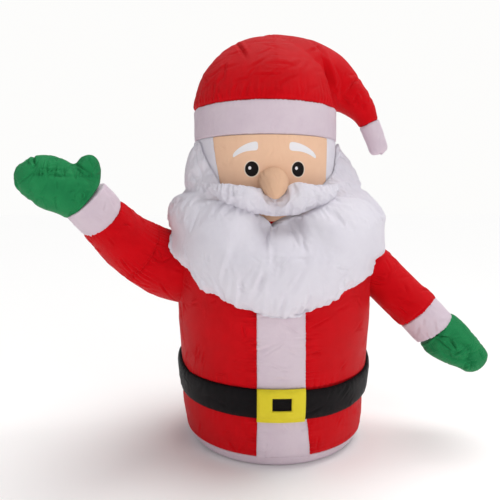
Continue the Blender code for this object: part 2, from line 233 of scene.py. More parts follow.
redCloth = plainNylon("redNylon", (0.77, 0.003, 0.009, 1.0), (0.64, 0.001, 0.005, 1.0))
whiteCloth = plainNylon("whiteNylon", (0.86, 0.73, 0.80, 1.0), (0.78, 0.64, 0.73, 1.0), 0.5)
paleCloth = plainNylon("paleNylon", (0.93, 0.895, 0.965, 1.0), (0.87, 0.83, 0.91, 1.0), 0.5)
greenCloth = plainNylon("greenNylon", (0.027, 0.33, 0.108, 1.0), (0.013, 0.22, 0.073, 1.0))
blackCloth = plainNylon("blackNylon", (0.010, 0.008, 0.009, 1.0), (0.005, 0.004, 0.005, 1.0), 0.44)
yellowCloth = plainNylon("yellowNylon", (0.96, 0.81, 0.050, 1.0), (0.85, 0.70, 0.035, 1.0), 0.5)
skinCloth = plainNylon("skinNylon", (0.93, 0.60, 0.40, 1.0), (0.88, 0.53, 0.34, 1.0), 0.5)
print("cloth materials made")


# Surfaces worked out on grids
def smoothRows(rows, count):
    # cubic curve through the rows, in step with the distance between them
    rows = np.asarray(rows, float)
    at = np.concatenate([[0.0], np.cumsum(np.linalg.norm(np.diff(rows, axis=0), axis=1))])
    slopes = np.gradient(rows, at, axis=0)
    where = np.linspace(0.0, at[-1], count)
    i = np.clip(np.searchsorted(at, where, "right") - 1, 0, len(at) - 2)
    gap = (at[i + 1] - at[i])[:, None]
    t = (where - at[i])[:, None] / gap
    return ((1 + 2 * t) * (1 - t) ** 2 * rows[i] + t * (1 - t) ** 2 * gap * slopes[i]
            + t * t * (3 - 2 * t) * rows[i + 1] + t * t * (t - 1) * gap * slopes[i + 1])


def runLength(points):
    # distance along the first axis of a grid of points, averaged over the second
    steps = np.linalg.norm(np.diff(points, axis=0), axis=-1)
    if steps.ndim > 1:
        steps = steps.mean(axis=1)
    return np.concatenate([[0.0], np.cumsum(steps)])


def gridNormals(points, centre, wrapRows=False):
    # cross product of the two grid directions, turned away from the centre line
    if wrapRows:
        down = np.roll(points, -1, axis=0) - np.roll(points, 1, axis=0)
    else:
        down = np.gradient(points, axis=0)
    across = np.roll(points, -1, axis=1) - np.roll(points, 1, axis=1)
    normal = np.cross(down, across)
    normal /= np.linalg.norm(normal, axis=-1, keepdims=True) + 1e-12
    if np.sum(normal * (points - centre)) < 0:
        normal = -normal
    return normal


def putMesh(name, places, quads, tris, quadUv, triUv):
    # volume by the sum of a . (b x c), so that the faces can be turned outward as whole arrays
    fans = np.concatenate([quads[:, [0, 1, 2]], quads[:, [0, 2, 3]], tris])
    a, b, c = places[fans[:, 0]], places[fans[:, 1]], places[fans[:, 2]]
    if np.einsum("ij,ij->", a, np.cross(b, c)) < 0:
        quads, quadUv, tris, triUv = quads[:, ::-1], quadUv[:, ::-1], tris[:, ::-1], triUv[:, ::-1]
    mesh = bpy.data.meshes.new(name)
    mesh.vertices.add(len(places))
    mesh.vertices.foreach_set("co", places.astype(np.float32).ravel())
    loops = np.concatenate([quads.ravel(), tris.ravel()])
    mesh.loops.add(len(loops))
    mesh.loops.foreach_set("vertex_index", loops.astype(np.int32))
    starts = np.concatenate([np.arange(len(quads)) * 4, len(quads) * 4 + np.arange(len(tris)) * 3])
    mesh.polygons.add(len(starts))
    mesh.polygons.foreach_set("loop_start", starts.astype(np.int32))
    mesh.update(calc_edges=True)
    layer = mesh.uv_layers.new(name="clothUv")
    layer.uv.foreach_set("vector", np.concatenate([quadUv.reshape(-1, 2),
                                                   triUv.reshape(-1, 2)]).astype(np.float32).ravel())
    mesh.validate()
    mesh.shade_smooth()
    piece = bpy.data.objects.new(name, mesh)
    bpy.context.scene.collection.objects.link(piece)
    return piece


def gridPiece(name, points, wrapRows=False):
    # a closed skin from a grid whose second axis goes round; open ends get a fan to their middle
    rows, cols = points.shape[:2]
    along = runLength(points)
    round_ = runLength(np.swapaxes(np.concatenate([points, points[:, :1]], axis=1), 0, 1))
    uv = np.stack(np.meshgrid(along, round_, indexing="ij"), -1)[..., ::-1]
    i = np.arange(rows if wrapRows else rows - 1)[:, None]
    j = np.arange(cols)[None, :]
    n, m = (i + 1) % rows, (j + 1) % cols
    quads = np.stack(np.broadcast_arrays(i * cols + j, i * cols + m, n * cols + m, n * cols + j),
                     -1).reshape(-1, 4)
    quadUv = np.stack([uv[i, j], uv[i, j + 1], uv[n, j + 1], uv[n, j]], -2).reshape(-1, 4, 2)
    places = points.reshape(-1, 3)
    if wrapRows:
        return putMesh(name, places, quads, np.zeros((0, 3), int), quadUv, np.zeros((0, 3, 2)))
    places = np.concatenate([places, points[:1].mean(axis=1), points[-1:].mean(axis=1)])
    k = np.arange(cols)
    first = np.stack([k, (k + 1) % cols, np.full(cols, rows * cols)], -1)
    last = np.stack([(rows - 1) * cols + (k + 1) % cols, (rows - 1) * cols + k,
                     np.full(cols, rows * cols + 1)], -1)
    firstUv = np.stack([uv[0, k], uv[0, k + 1], uv[0, k]], 1)
    lastUv = np.stack([uv[-1, k + 1], uv[-1, k], uv[-1, k]], 1)
    return putMesh(name, places, quads, np.concatenate([first[:, ::-1], last[:, ::-1]]), quadUv,
                   np.concatenate([firstUv[:, ::-1], lastUv[:, ::-1]]))


def slabPiece(name, front, normals, thickness):
    # a thin bag from one open grid: its front, and the same grid moved back by the thickness, in a loop
    back = front - normals * thickness
    loop = np.concatenate([front, back[:, ::-1]], axis=1)
    return gridPiece(name, loop)


# Folds in the cloth
def pucker(u, v, length, seed, folds, size, fade=0.22):
    # gathers along a seam: waves round it, each dying away from it in step with its own wavelength
    dice = np.random.default_rng(seed)
    waves = dice.integers(folds[0], folds[1], 14)
    phases = dice.uniform(0, 2 * math.pi, 14)
    powers = dice.uniform(0.4, 1.0, 14) / (waves / folds[0]) ** 0.6
    turn = 2 * math.pi * u / length
    total = np.zeros(np.broadcast(u, v).shape)
    for wave, phase, power in zip(waves, phases, powers):
        total += power * np.cos(wave * turn + phase) * np.exp(-v * wave * 2 * math.pi / length * fade)
    waist = np.exp(-v * 2 * math.pi / length * folds[0] * fade)
    return size * (np.abs(total) / np.sqrt(np.sum(powers ** 2) / 2) - 0.6 * waist)


def foldLines(seed, count, across, down, lean, spread, long, wide, deep):
    # rows of centre, lean in degrees from the level, half length, width and depth
    dice = np.random.default_rng(seed)
    return np.stack([dice.uniform(*across, count), dice.uniform(*down, count),
                     lean + dice.normal(0, spread, count), dice.uniform(*long, count),
                     dice.uniform(*wide, count), dice.uniform(*deep, count)], -1)


def creases(u, v, lines, length=None):
    # each line sinks a sharp valley with a soft shoulder beside it, and thins out to its ends
    height = np.zeros(np.broadcast(u, v).shape)
    for cu, cv, lean, long, wide, deep in np.asarray(lines, float):
        du = u - cu
        if length:
            du = (du + length / 2) % length - length / 2
        dv = v - cv
        c, s = math.cos(math.radians(lean)), math.sin(math.radians(lean))
        a = (du * c + dv * s) / long
        b = (dv * c - du * s) / wide
        near = np.clip(1 - a * a, 0, 1) ** 2
        height += deep * near * (0.55 * np.exp(-((b - 1.5) / 1.0) ** 2)
                                 + 0.25 * np.exp(-((b + 1.8) / 1.2) ** 2)
                                 - np.exp(-np.abs(b) * 1.3))
    return height


def spun(profile, count, around, shift=0.0, dense=0.0):
    # a profile of radius and height turned about the upright axis; the grid starts at the back, and
    # dense above 0 draws its columns together in front
    line = smoothRows(profile, count)
    turn = np.arange(around) * 2 * math.pi / around - math.pi
    turn = turn - dense * np.sin(turn)
    x = shift + line[:, :1] * np.sin(turn)
    y = -line[:, :1] * np.cos(turn)
    return np.stack([x, y, np.broadcast_to(line[:, 1:], x.shape)], -1), turn


def swept(stations, count, around, guide, lens=0.0):
    # ovals carried along a path; lens above 0 sharpens their two side edges
    rows = np.array([tuple(c) + (w, d) for c, w, d in stations], float)
    rows = smoothRows(rows, count)
    centres = rows[:, :3]
    tangents = np.gradient(centres, axis=0)
    tangents /= np.linalg.norm(tangents, axis=1, keepdims=True)
    guide = np.array(guide, float)
    across = guide - tangents * (tangents @ guide)[:, None]
    across /= np.linalg.norm(across, axis=1, keepdims=True)
    depth = np.cross(tangents, across)
    turn = np.arange(around) * 2 * math.pi / around
    w = np.cos(turn)
    d = np.sin(turn) * np.abs(np.sin(turn)) ** lens
    points = (centres[:, None] + across[:, None] * (rows[:, 3:4] * w)[..., None]
              + depth[:, None] * (rows[:, 4:5] * d)[..., None])
    return points, turn, centres


def hermite(values, at, wanted):
    # cubic curve through values placed at rising places, read at the wanted places along the first axis
    slopes = np.gradient(values, at, axis=0)
    i = np.clip(np.searchsorted(at, wanted, "right") - 1, 0, len(at) - 2)
    shape = (-1,) + (1,) * (values.ndim - 1)
    gap = (at[i + 1] - at[i]).reshape(shape)
    t = (wanted - at[i]).reshape(shape) / gap
    return ((1 + 2 * t) * (1 - t) ** 2 * values[i] + t * (1 - t) ** 2 * gap * slopes[i]
            + t * t * (3 - 2 * t) * values[i + 1] + t * t * (t - 1) * gap * slopes[i + 1])


def meshArrays(piece):
    mesh = piece.data
    places = np.empty(len(mesh.vertices) * 3, np.float32)
    mesh.vertices.foreach_get("co", places)
    normals = np.empty(len(mesh.vertices) * 3, np.float32)
    mesh.vertices.foreach_get("normal", normals)
    return places.reshape(-1, 3).astype(float), normals.reshape(-1, 3).astype(float)


def setPlaces(piece, places):
    piece.data.vertices.foreach_set("co", places.astype(np.float32).ravel())
    piece.data.update()


def blown(piece, held, spec):
    # cloth under air pressure with no gravity, its sewn points held; gives each point's move, capped
    places = meshArrays(piece)[0]
    group = piece.vertex_groups.new(name="sewn")
    levels = np.round(held, 1)
    for level in np.unique(levels[levels > 0]):
        group.add(np.nonzero(levels == level)[0].tolist(), float(level), "REPLACE")
    cloth = piece.modifiers.new("air", "CLOTH")
    cloth.settings.quality = spec.get("quality", 5)
    cloth.settings.mass = 0.05
    cloth.settings.tension_stiffness = 12.0
    cloth.settings.compression_stiffness = 6.0
    cloth.settings.shear_stiffness = 4.0
    cloth.settings.bending_stiffness = spec.get("stiff", 0.02)
    cloth.settings.air_damping = 3.0
    cloth.settings.use_pressure = True
    cloth.settings.uniform_pressure_force = spec["pressure"]
    cloth.settings.effector_weights.gravity = 0.0
    cloth.settings.shrink_min = -spec["slack"]
    cloth.settings.vertex_group_mass = "sewn"
    cloth.settings.pin_stiffness = 4.0
    cloth.point_cache.frame_end = spec["steps"] + 1
    scene = bpy.context.scene
    for step in range(1, spec["steps"] + 1):
        scene.frame_set(step)
    graph = bpy.context.evaluated_depsgraph_get()
    swollen = piece.evaluated_get(graph).to_mesh()
    after = np.empty(len(swollen.vertices) * 3, np.float32)
    swollen.vertices.foreach_get("co", after)
    piece.evaluated_get(graph).to_mesh_clear()
    piece.modifiers.remove(cloth)
    piece.vertex_groups.clear()
    scene.frame_set(1)
    move = after.reshape(-1, 3) - places
    far = np.linalg.norm(move, axis=1, keepdims=True)
    print("  air moved", piece.name, "by", round(float(far.mean()) * 1000, 1), "mm, most",
          round(float(far.max()) * 1000, 1))
    return move * np.minimum(1.0, spec["cap"] / np.maximum(far, 1e-9))


def airFilled(points, held, spec):
    # a coarse copy of the grid is blown up, and its moves are spread over the fine grid by cubic curves
    rows, cols = points.shape[:2]
    i = np.linspace(0, rows - 1, spec["rows"]).round().astype(int)
    j = (np.arange(spec["cols"]) * cols / spec["cols"]).round().astype(int)
    bag = gridPiece("bag", points[np.ix_(i, j)])
    move = blown(bag, np.concatenate([held[np.ix_(i, j)].ravel(), [1.0, 1.0]]), spec)
    bpy.data.objects.remove(bag)
    move = move[:-2].reshape(len(i), len(j), 3)
    ring = np.concatenate([move[:, -3:], move, move[:, :3]], axis=1)
    at = np.concatenate([j[-3:] - cols, j, j[:3] + cols]).astype(float)
    wide = hermite(np.swapaxes(ring, 0, 1), at, np.arange(cols, dtype=float))
    return points + hermite(np.swapaxes(wide, 0, 1), i.astype(float), np.arange(rows, dtype=float))


def keepClear(points, stations, room):
    # lifts points forwards out of the row of balls that stands for a neighbouring limb
    aside = np.array([0.0, -0.96, 0.28])
    for x, y, z, r in smoothRows([tuple(c) + (r,) for c, r in stations], 60):
        away = points - np.array([x, y, z])
        along = away @ aside
        depth = (r + room) ** 2 - np.sum(away * away, axis=-1)
        reach = (np.sqrt(np.maximum(along ** 2 + depth, 0)) - along) * (depth > 0)
        points = points + reach[..., None] * aside
    return points


def finish(piece, material, node):
    piece.data.materials.append(material)
    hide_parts(node)
    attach(piece, "root")
    return piece


# Body: foot, coat, stripe, belt and buckle
body = {"seam": 0.034, "beltLow": 0.148, "beltHigh": 0.228, "arc": 0.28, "coatGrid": (190, 420),
        "coatDense": 0.52, "stripeTop": 0.558, "stripeGrid": (220, 48), "footGrid": (34, 400),
        "footArc": 0.265,
        "line": ((0.2640, 0.0344), (0.2662, 0.0355), (0.2710, 0.055), (0.275, 0.10), (0.275, 0.146),
                 (0.278, 0.18), (0.283, 0.23), (0.288, 0.31), (0.292, 0.39), (0.292, 0.45), (0.291, 0.52),
                 (0.281, 0.57), (0.261, 0.604), (0.235, 0.628), (0.212, 0.639))}
bodyLine = np.array(body["line"])


def bodyRadius(z):
    return np.interp(z, bodyLine[:, 1], bodyLine[:, 0])


def stripeEdges(z):
    # the stripe's two sides as distances round the coat; it widens towards the foot
    return (np.interp(z, (0.035, 0.14, 0.45), (-0.072, -0.068, -0.0668)),
            np.interp(z, (0.035, 0.14, 0.23, 0.45), (0.0805, 0.066, 0.0585, 0.0525)))


def bodyFolds(turn, z):
    # gathers over the foot seam and beside the belt, hanging folds, and pulls below the arms
    arc = turn * body["arc"]
    length = 2 * math.pi * body["arc"]
    height = 0.006 * np.exp(-((turn + 1.45) / 0.5) ** 2 - ((z - 0.125) / 0.045) ** 2)
    height = height + pucker(arc, np.abs(z - body["seam"]), length, 3, (30, 95), 0.0016, 0.3)
    for edge, seed in ((body["beltHigh"], 5), (body["beltLow"], 6)):
        height += pucker(arc, np.abs(z - edge), length, seed, (26, 80), 0.0014, 0.3)
    height += creases(arc, z, foldLines(11, 130, (-0.88, 0.88), (0.24, 0.56), 12, 38, (0.015, 0.05),
                                        (0.0025, 0.0055), (0.0014, 0.0042)), length)
    height += creases(arc, z, foldLines(12, 70, (-0.88, 0.88), (0.05, 0.14), 35, 45, (0.012, 0.04),
                                        (0.0025, 0.005), (0.0012, 0.0034)), length)
    for side in (-1, 1):
        height += creases(arc, z, foldLines(13 + side, 12, (side * 0.40 - 0.06, side * 0.40 + 0.06),
                                            (0.30, 0.44), 90 - side * 35, 18, (0.03, 0.06), (0.004, 0.007),
                                            (0.0015, 0.003)), length)
    # the stripe's two sewn edges gather the red cloth in short level ripples
    left, right = stripeEdges(z)
    for edge, seed in ((left, 8), (right, 9)):
        gap = np.abs(arc - edge)
        away = (arc < left) | (arc > right)
        ripple = pucker(z, gap, 0.6, seed, (22, 60), 0.0030, 0.13) * np.where(away, 1.0, 0.45)
        height += (ripple - 0.0016 * np.exp(-(gap / 0.003) ** 2)) * (np.abs(turn) < 1.2)
    return height


def makeCoat():
    points, turn = spun(body["line"], *body["coatGrid"], dense=body["coatDense"])
    z = points[..., 2]
    angle = np.broadcast_to(turn, z.shape)
    normal = gridNormals(points, np.array([0.0, 0.0, 0.35]))
    held = np.clip((z - 0.0345) / 0.01, 0, 1) * np.clip((0.64 - z) / 0.02, 0, 1)
    left, right = stripeEdges(z)
    arc = angle * body["arc"]
    sunk = 0.0045 * np.clip(np.minimum(arc - left, right - arc) / 0.003, 0, 1) * (z < 0.550)
    under = 0.004 * ((z > body["beltLow"]) & (z < body["beltHigh"]))
    height = bodyFolds(angle, z) * held - np.maximum(sunk, under)
    piece = gridPiece("coatCloth", points + normal * height[..., None])
    return finish(piece, redCloth, "coat")


def makeStripe():
    rows, cols = body["stripeGrid"]
    z = np.linspace(0.0346, body["stripeTop"], rows)[:, None]
    left, right = stripeEdges(z)
    share = np.linspace(0.0, 1.0, cols)[None, :]
    arc = left + (right - left) * share
    turn = arc / body["arc"]
    edge = np.abs(2 * share - 1)
    radius = bodyRadius(z) + bodyFolds(turn, z + 0 * arc) + 0.0022 - 0.0006 * edge ** 10
    radius = radius - 0.003 * ((z > body["beltLow"]) & (z < body["beltHigh"]))
    front = np.stack([radius * np.sin(turn), -radius * np.cos(turn), z + arc * 0], -1)
    normals = np.stack([np.sin(turn), -np.cos(turn), arc * 0], -1)
    piece = slabPiece("stripeCloth", front, normals, 0.0035)
    return finish(piece, whiteCloth, "front_stripe")


def makeFoot():
    line = ((0.2635, 0.0340), (0.2650, 0.0330), (0.2625, 0.027), (0.2580, 0.018), (0.2520, 0.009),
            (0.2455, 0.003), (0.239, 0.0002), (0.234, 0.0), (0.220, 0.0))
    points, turn = spun(line, *body["footGrid"])
    z = points[..., 2]
    arc = np.broadcast_to(turn, z.shape) * body["footArc"]
    height = pucker(arc, np.clip(0.034 - z, 0, 1), 2 * math.pi * body["footArc"], 21, (30, 95), 0.0010)
    normal = gridNormals(points, np.array([0.0, 0.0, 0.02]))
    height = height * np.clip(z / 0.012, 0, 1)
    piece = gridPiece("footCloth", points + normal * height[..., None])
    return finish(piece, whiteCloth, "base_skirt")


belt = {"low": 0.147, "high": 0.229, "proud": 0.011, "sideProud": 0.002, "sideRise": 0.032, "arc": 0.29,
        "around": 400, "outerRows": 38, "innerRows": 8}


def beltSection(turn, share):
    # height, radius and outward bulge of the band; it stands looser and taller at the sides and the back
    side = np.clip((np.degrees(np.abs(turn)) - 58.0) / 36.0, 0, 1)
    side = side * side * (3 - 2 * side)
    high = belt["high"] + belt["sideRise"] * side
    z = high - (high - belt["low"]) * share - 0.0055 * np.exp(-((turn - 0.42) / 0.38) ** 2) - 0.0025
    bulge = (belt["proud"] + belt["sideProud"] * side) * (1 - np.abs(2 * share - 1) ** 4.0).clip(0) ** 0.5
    return z, bodyRadius(z) + 0.001 + bulge + 0.4 * belt["sideProud"] * side * (1 - share)


def makeBelt():
    # a closed band profile: padded outer side, flat inner side, carried round the coat
    turn = (np.arange(belt["around"]) * 2 * math.pi / belt["around"] - math.pi)[None, :]
    share = np.linspace(0.0, 1.0, belt["outerRows"])[:, None]
    z, r = beltSection(turn, share)
    back = np.linspace(0.985, 0.015, belt["innerRows"])[:, None]
    backZ = beltSection(turn, back)[0]
    z = np.concatenate([z, backZ])
    r = np.concatenate([r, bodyRadius(backZ) - 0.001])
    arc = turn * belt["arc"] + z * 0
    length = 2 * math.pi * belt["arc"]
    high, low = z.max(axis=0, keepdims=True), z.min(axis=0, keepdims=True)
    height = pucker(arc, np.minimum(high - z, z - low).clip(0), length, 31, (24, 70), 0.0010, 0.4)
    height += creases(arc, z, foldLines(32, 60, (-0.9, 0.9), (0.165, 0.215), 30, 25, (0.015, 0.05),
                                        (0.0035, 0.007), (0.0006, 0.0022)), length)
    outer = np.concatenate([np.ones(belt["outerRows"]), np.zeros(belt["innerRows"])])[:, None]
    r = r + height * outer
    points = np.stack([r * np.sin(turn), -r * np.cos(turn), z], -1)
    piece = gridPiece("beltCloth", points, wrapRows=True)
    return finish(piece, blackCloth, "belt")


buckle = {"left": -0.0685, "right": 0.0585, "low": 0.1375, "high": 0.2295, "holeLeft": -0.029,
          "holeRight": 0.021,
          "holeLow": 0.1715, "holeHigh": 0.2065}


def makeBuckle():
    # a flat rounded band carried round the frame's rectangle, bent to the belt
    spec = buckle
    outer = np.array([(spec["left"], spec["low"]), (spec["right"], spec["low"]),
                      (spec["right"], spec["high"]), (spec["left"], spec["high"])])
    inner = np.array([(spec["holeLeft"], spec["holeLow"]), (spec["holeRight"], spec["holeLow"]),
                      (spec["holeRight"], spec["holeHigh"]), (spec["holeLeft"], spec["holeHigh"])])
    steps = np.linspace(0, 1, 40, endpoint=False)[None, :, None]
    walk = (outer[:, None] * (1 - steps) + np.roll(outer, -1, 0)[:, None] * steps).reshape(-1, 2)
    hole = (inner[:, None] * (1 - steps) + np.roll(inner, -1, 0)[:, None] * steps).reshape(-1, 2)
    across = np.concatenate([np.linspace(0, 1, 22), np.linspace(1, 0, 8)])
    lift = np.concatenate([0.0035 * (1 - np.abs(np.linspace(-1, 1, 22)) ** 6), np.full(8, -0.0035)])
    flat = walk[:, None] * (1 - across[None, :, None]) + hole[:, None] * across[None, :, None]
    x, z = flat[..., 0], flat[..., 1]
    beltShare = np.clip((belt["high"] - z) / (belt["high"] - belt["low"]), 0, 1)
    radius = np.maximum(beltSection(x * 0, beltShare)[1], bodyRadius(z) + 0.006) + 0.0035 + lift
    radius = radius + creases(x, z, foldLines(41, 14, (-0.06, 0.06), (0.145, 0.23), 20, 50, (0.01, 0.03),
                                              (0.002, 0.004), (0.0004, 0.001))) * (lift > 0)
    y = -np.sqrt(radius ** 2 - x ** 2)
    piece = gridPiece("buckleCloth", np.stack([x, y, z], -1), wrapRows=True)
    return finish(piece, yellowCloth, "buckle")


makeFoot()
makeCoat()
makeStripe()
makeBelt()
makeBuckle()
print("body made")


# Head, face and hat band
head = {"shift": -0.027, "radius": 0.209, "high": 0.888, "panelLow": 0.645, "panelHigh": 0.8865,
        "panelSink": 0.0065,
        "grid": (72, 340), "panelGrid": (118, 130),
        "line": ((0.200, 0.6415), (0.205, 0.646), (0.208, 0.70), (0.209, 0.77), (0.210, 0.83),
                 (0.2105, 0.874), (0.2100, 0.885), (0.2085, 0.8877))}
headLine = np.array(head["line"])


def headFolds(turn, z):
    arc = turn * head["radius"]
    length = 2 * math.pi * head["radius"]
    height = pucker(arc, np.abs(head["high"] - z), length, 51, (26, 80), 0.0008, 0.3)
    height += creases(arc, z, foldLines(52, 26, (-0.62, 0.62), (0.76, 0.88), 55, 35, (0.015, 0.05),
                                        (0.003, 0.006), (0.0004, 0.0012)), length)
    # soft pulls at the panel's upper left corner
    height += creases(arc, z, foldLines(53, 8, (-0.17, -0.12), (0.80, 0.87), 130, 12, (0.015, 0.03),
                                        (0.003, 0.005), (0.0006, 0.0013)), length)
    return height


def panelEdges(z):
    # the printed face narrows downwards on its left
    return (np.radians(np.interp(z, (0.645, 0.700, 0.763, 0.8245, 0.888),
                                 (-34.0, -36.5, -40.5, -44.5, -47.7))),
            np.radians(np.interp(z, (0.645, 0.760, 0.815, 0.869, 0.888), (49.5, 50.5, 51.0, 51.0, 50.6))))


def makeHead():
    points, turn = spun(head["line"], *head["grid"], head["shift"])
    z = points[..., 2]
    angle = np.broadcast_to(turn, z.shape)
    normal = gridNormals(points, np.array([head["shift"], 0.0, 0.77]))
    held = np.clip((z - 0.642) / 0.01, 0, 1) * np.clip((head["high"] - z) / 0.006, 0, 1)
    left, right = panelEdges(z)
    inside = np.degrees(np.minimum(angle - left, right - angle))
    panel = np.clip((inside - 0.1) / 0.7, 0, 1)
    groove = 0.0018 * np.exp(-(inside / 0.9) ** 2)
    height = headFolds(angle, z) * held - groove
    outward = np.stack([np.sin(angle), -np.cos(angle), z * 0], -1)
    piece = gridPiece("headCloth", points + normal * height[..., None]
                      - outward * (head["panelSink"] * panel)[..., None])
    return finish(piece, paleCloth, "head")


def makePanel():
    rows, cols = head["panelGrid"]
    z = np.linspace(head["panelLow"], head["panelHigh"], rows)[:, None]
    left, right = panelEdges(z)
    share = np.linspace(0.0, 1.0, cols)[None, :]
    turn = left + (right - left) * share
    edge = np.abs(2 * share - 1)
    radius = (np.interp(z, headLine[:, 1], headLine[:, 0]) + headFolds(turn + z * 0, z + turn * 0)
              + 0.0008 - 0.002 * edge ** 20)
    front = np.stack([head["shift"] + radius * np.sin(turn), -radius * np.cos(turn), z + turn * 0], -1)
    normals = np.stack([np.sin(turn) + z * 0, -np.cos(turn) + z * 0, z * 0 + turn * 0], -1)
    piece = slabPiece("facePanelCloth", front, normals, 0.0035)
    return finish(piece, makeFaceCloth(), "face_panel")


face = {"eyes": (-14.0, 20.4), "eyeHeight": 0.797, "eyeWide": 0.0182, "eyeTall": 0.0198,
        "brows": ((-9.4, -28.4), (13.2, 36.4)), "browHeight": 0.8565, "browDrop": 0.0245,
        "browThick": (0.0125, 0.0062),
        "mouthTurn": 2.7, "mouthHalf": 0.0165, "mouthTop": 0.6590, "mouthLow": 0.6440,
        "skin": (0.93, 0.61, 0.42, 1.0), "skinShade": (0.88, 0.55, 0.37, 1.0)}


def makeFaceCloth():
    # eyes, brows and mouth are printed: masks in metres round the head and up it
    cloth = Cloth("printedFaceNylon", 0.5, 0.03)
    skin = nylonBase(cloth, face["skin"], face["skinShade"], 0.6)
    where = cloth.place()
    parts = cloth.node("ShaderNodeSeparateXYZ", {}, {0: where})
    x = Signal(cloth, parts.socket.node.outputs[0]) - head["shift"]
    y = Signal(cloth, parts.socket.node.outputs[1])
    z = Signal(cloth, parts.socket.node.outputs[2])
    turn = cloth.node("ShaderNodeMath", {"operation": "ARCTAN2"}, {0: x, 1: y * -1.0})
    around = turn * head["radius"]
    white = (0.90, 0.87, 0.90, 1.0)
    black = (0.012, 0.010, 0.010, 1.0)
    paint = skin
    for eye in face["eyes"]:
        centre = math.radians(eye) * head["radius"]
        du = (around - centre) / face["eyeWide"]
        dv = (z - face["eyeHeight"]) / face["eyeTall"]
        reach = cloth.node("ShaderNodeMath", {"operation": "SQRT"}, {0: du * du + dv * dv})
        paint = cloth.mix(reach.below(1.13, 0.04), paint, (0.90, 0.74, 0.62, 1.0))
        paint = cloth.mix(reach.below(1.0, 0.04), paint, black)
        gu = (around - (centre - 0.0052)) / 0.0040
        gv = (z - (face["eyeHeight"] + 0.0026)) / 0.0044
        glint = cloth.node("ShaderNodeMath", {"operation": "SQRT"}, {0: gu * gu + gv * gv})
        paint = cloth.mix(glint.below(1.0, 0.14), paint, white)
    for inner, outer in face["brows"]:
        # t runs from 0 at the blunt inner end to 1 at the thin outer end; the brow bends down past its middle
        start = math.radians(inner) * head["radius"]
        t = (around - start) / (math.radians(outer - inner) * head["radius"])
        sag = cloth.node("ShaderNodeMath", {"operation": "POWER"}, {0: t.top(0.0), 1: 2.3})
        line = sag * -face["browDrop"] + face["browHeight"]
        thick = t * (face["browThick"][1] - face["browThick"][0]) + face["browThick"][0]
        blunt = abs(t * 2.0 - 1.0)
        round_ = cloth.node("ShaderNodeMath", {"operation": "POWER"}, {0: blunt, 1: 9.0})
        band = abs(z - line) / thick
        reach = cloth.node("ShaderNodeMath", {"operation": "POWER"}, {0: band, 1: 3.0}) + round_
        paint = cloth.mix(reach.below(1.0, 0.10), paint, white)
    # mouth: a small red wedge that shows under the moustache
    mu = abs(around - math.radians(face["mouthTurn"]) * head["radius"])
    slope = face["mouthHalf"] / (face["mouthTop"] - face["mouthLow"])
    wedge = (mu - (z - face["mouthLow"]) * slope).below(0.003, 0.0008) * z.below(face["mouthTop"], 0.0006)
    paint = cloth.mix(wedge, paint, (0.60, 0.008, 0.012, 1.0))
    cloth.feed("Base Color", paint)
    return cloth.material


hatBand = {"arc": 0.212, "low": 0.888, "high": 0.976, "grid": (50, 380),
           "line": ((0.2085, 0.8882), (0.2105, 0.8900), (0.2118, 0.900), (0.2122, 0.932), (0.2118, 0.955),
                    (0.2112, 0.969), (0.2098, 0.9750), (0.2080, 0.9762))}


def makeBand():
    points, turn = spun(hatBand["line"], *hatBand["grid"], head["shift"])
    z = points[..., 2]
    arc = np.broadcast_to(turn, z.shape) * hatBand["arc"]
    length = 2 * math.pi * hatBand["arc"]
    height = pucker(arc, np.abs(hatBand["high"] - z), length, 61, (26, 84), 0.0011, 0.3)
    height += pucker(arc, np.abs(z - hatBand["low"]), length, 62, (26, 84), 0.0008, 0.3)
    height += creases(arc, z, foldLines(63, 22, (-0.66, 0.66), (0.90, 0.965), 78, 22, (0.012, 0.03),
                                        (0.003, 0.006), (0.0004, 0.0012)), length)
    normal = gridNormals(points, np.array([head["shift"], 0.0, 0.93]))
    piece = gridPiece("hatBandCloth", points + normal * height[..., None])
    return finish(piece, whiteCloth, "hat_band")


makeHead()
makePanel()
makeBand()
print("head made")


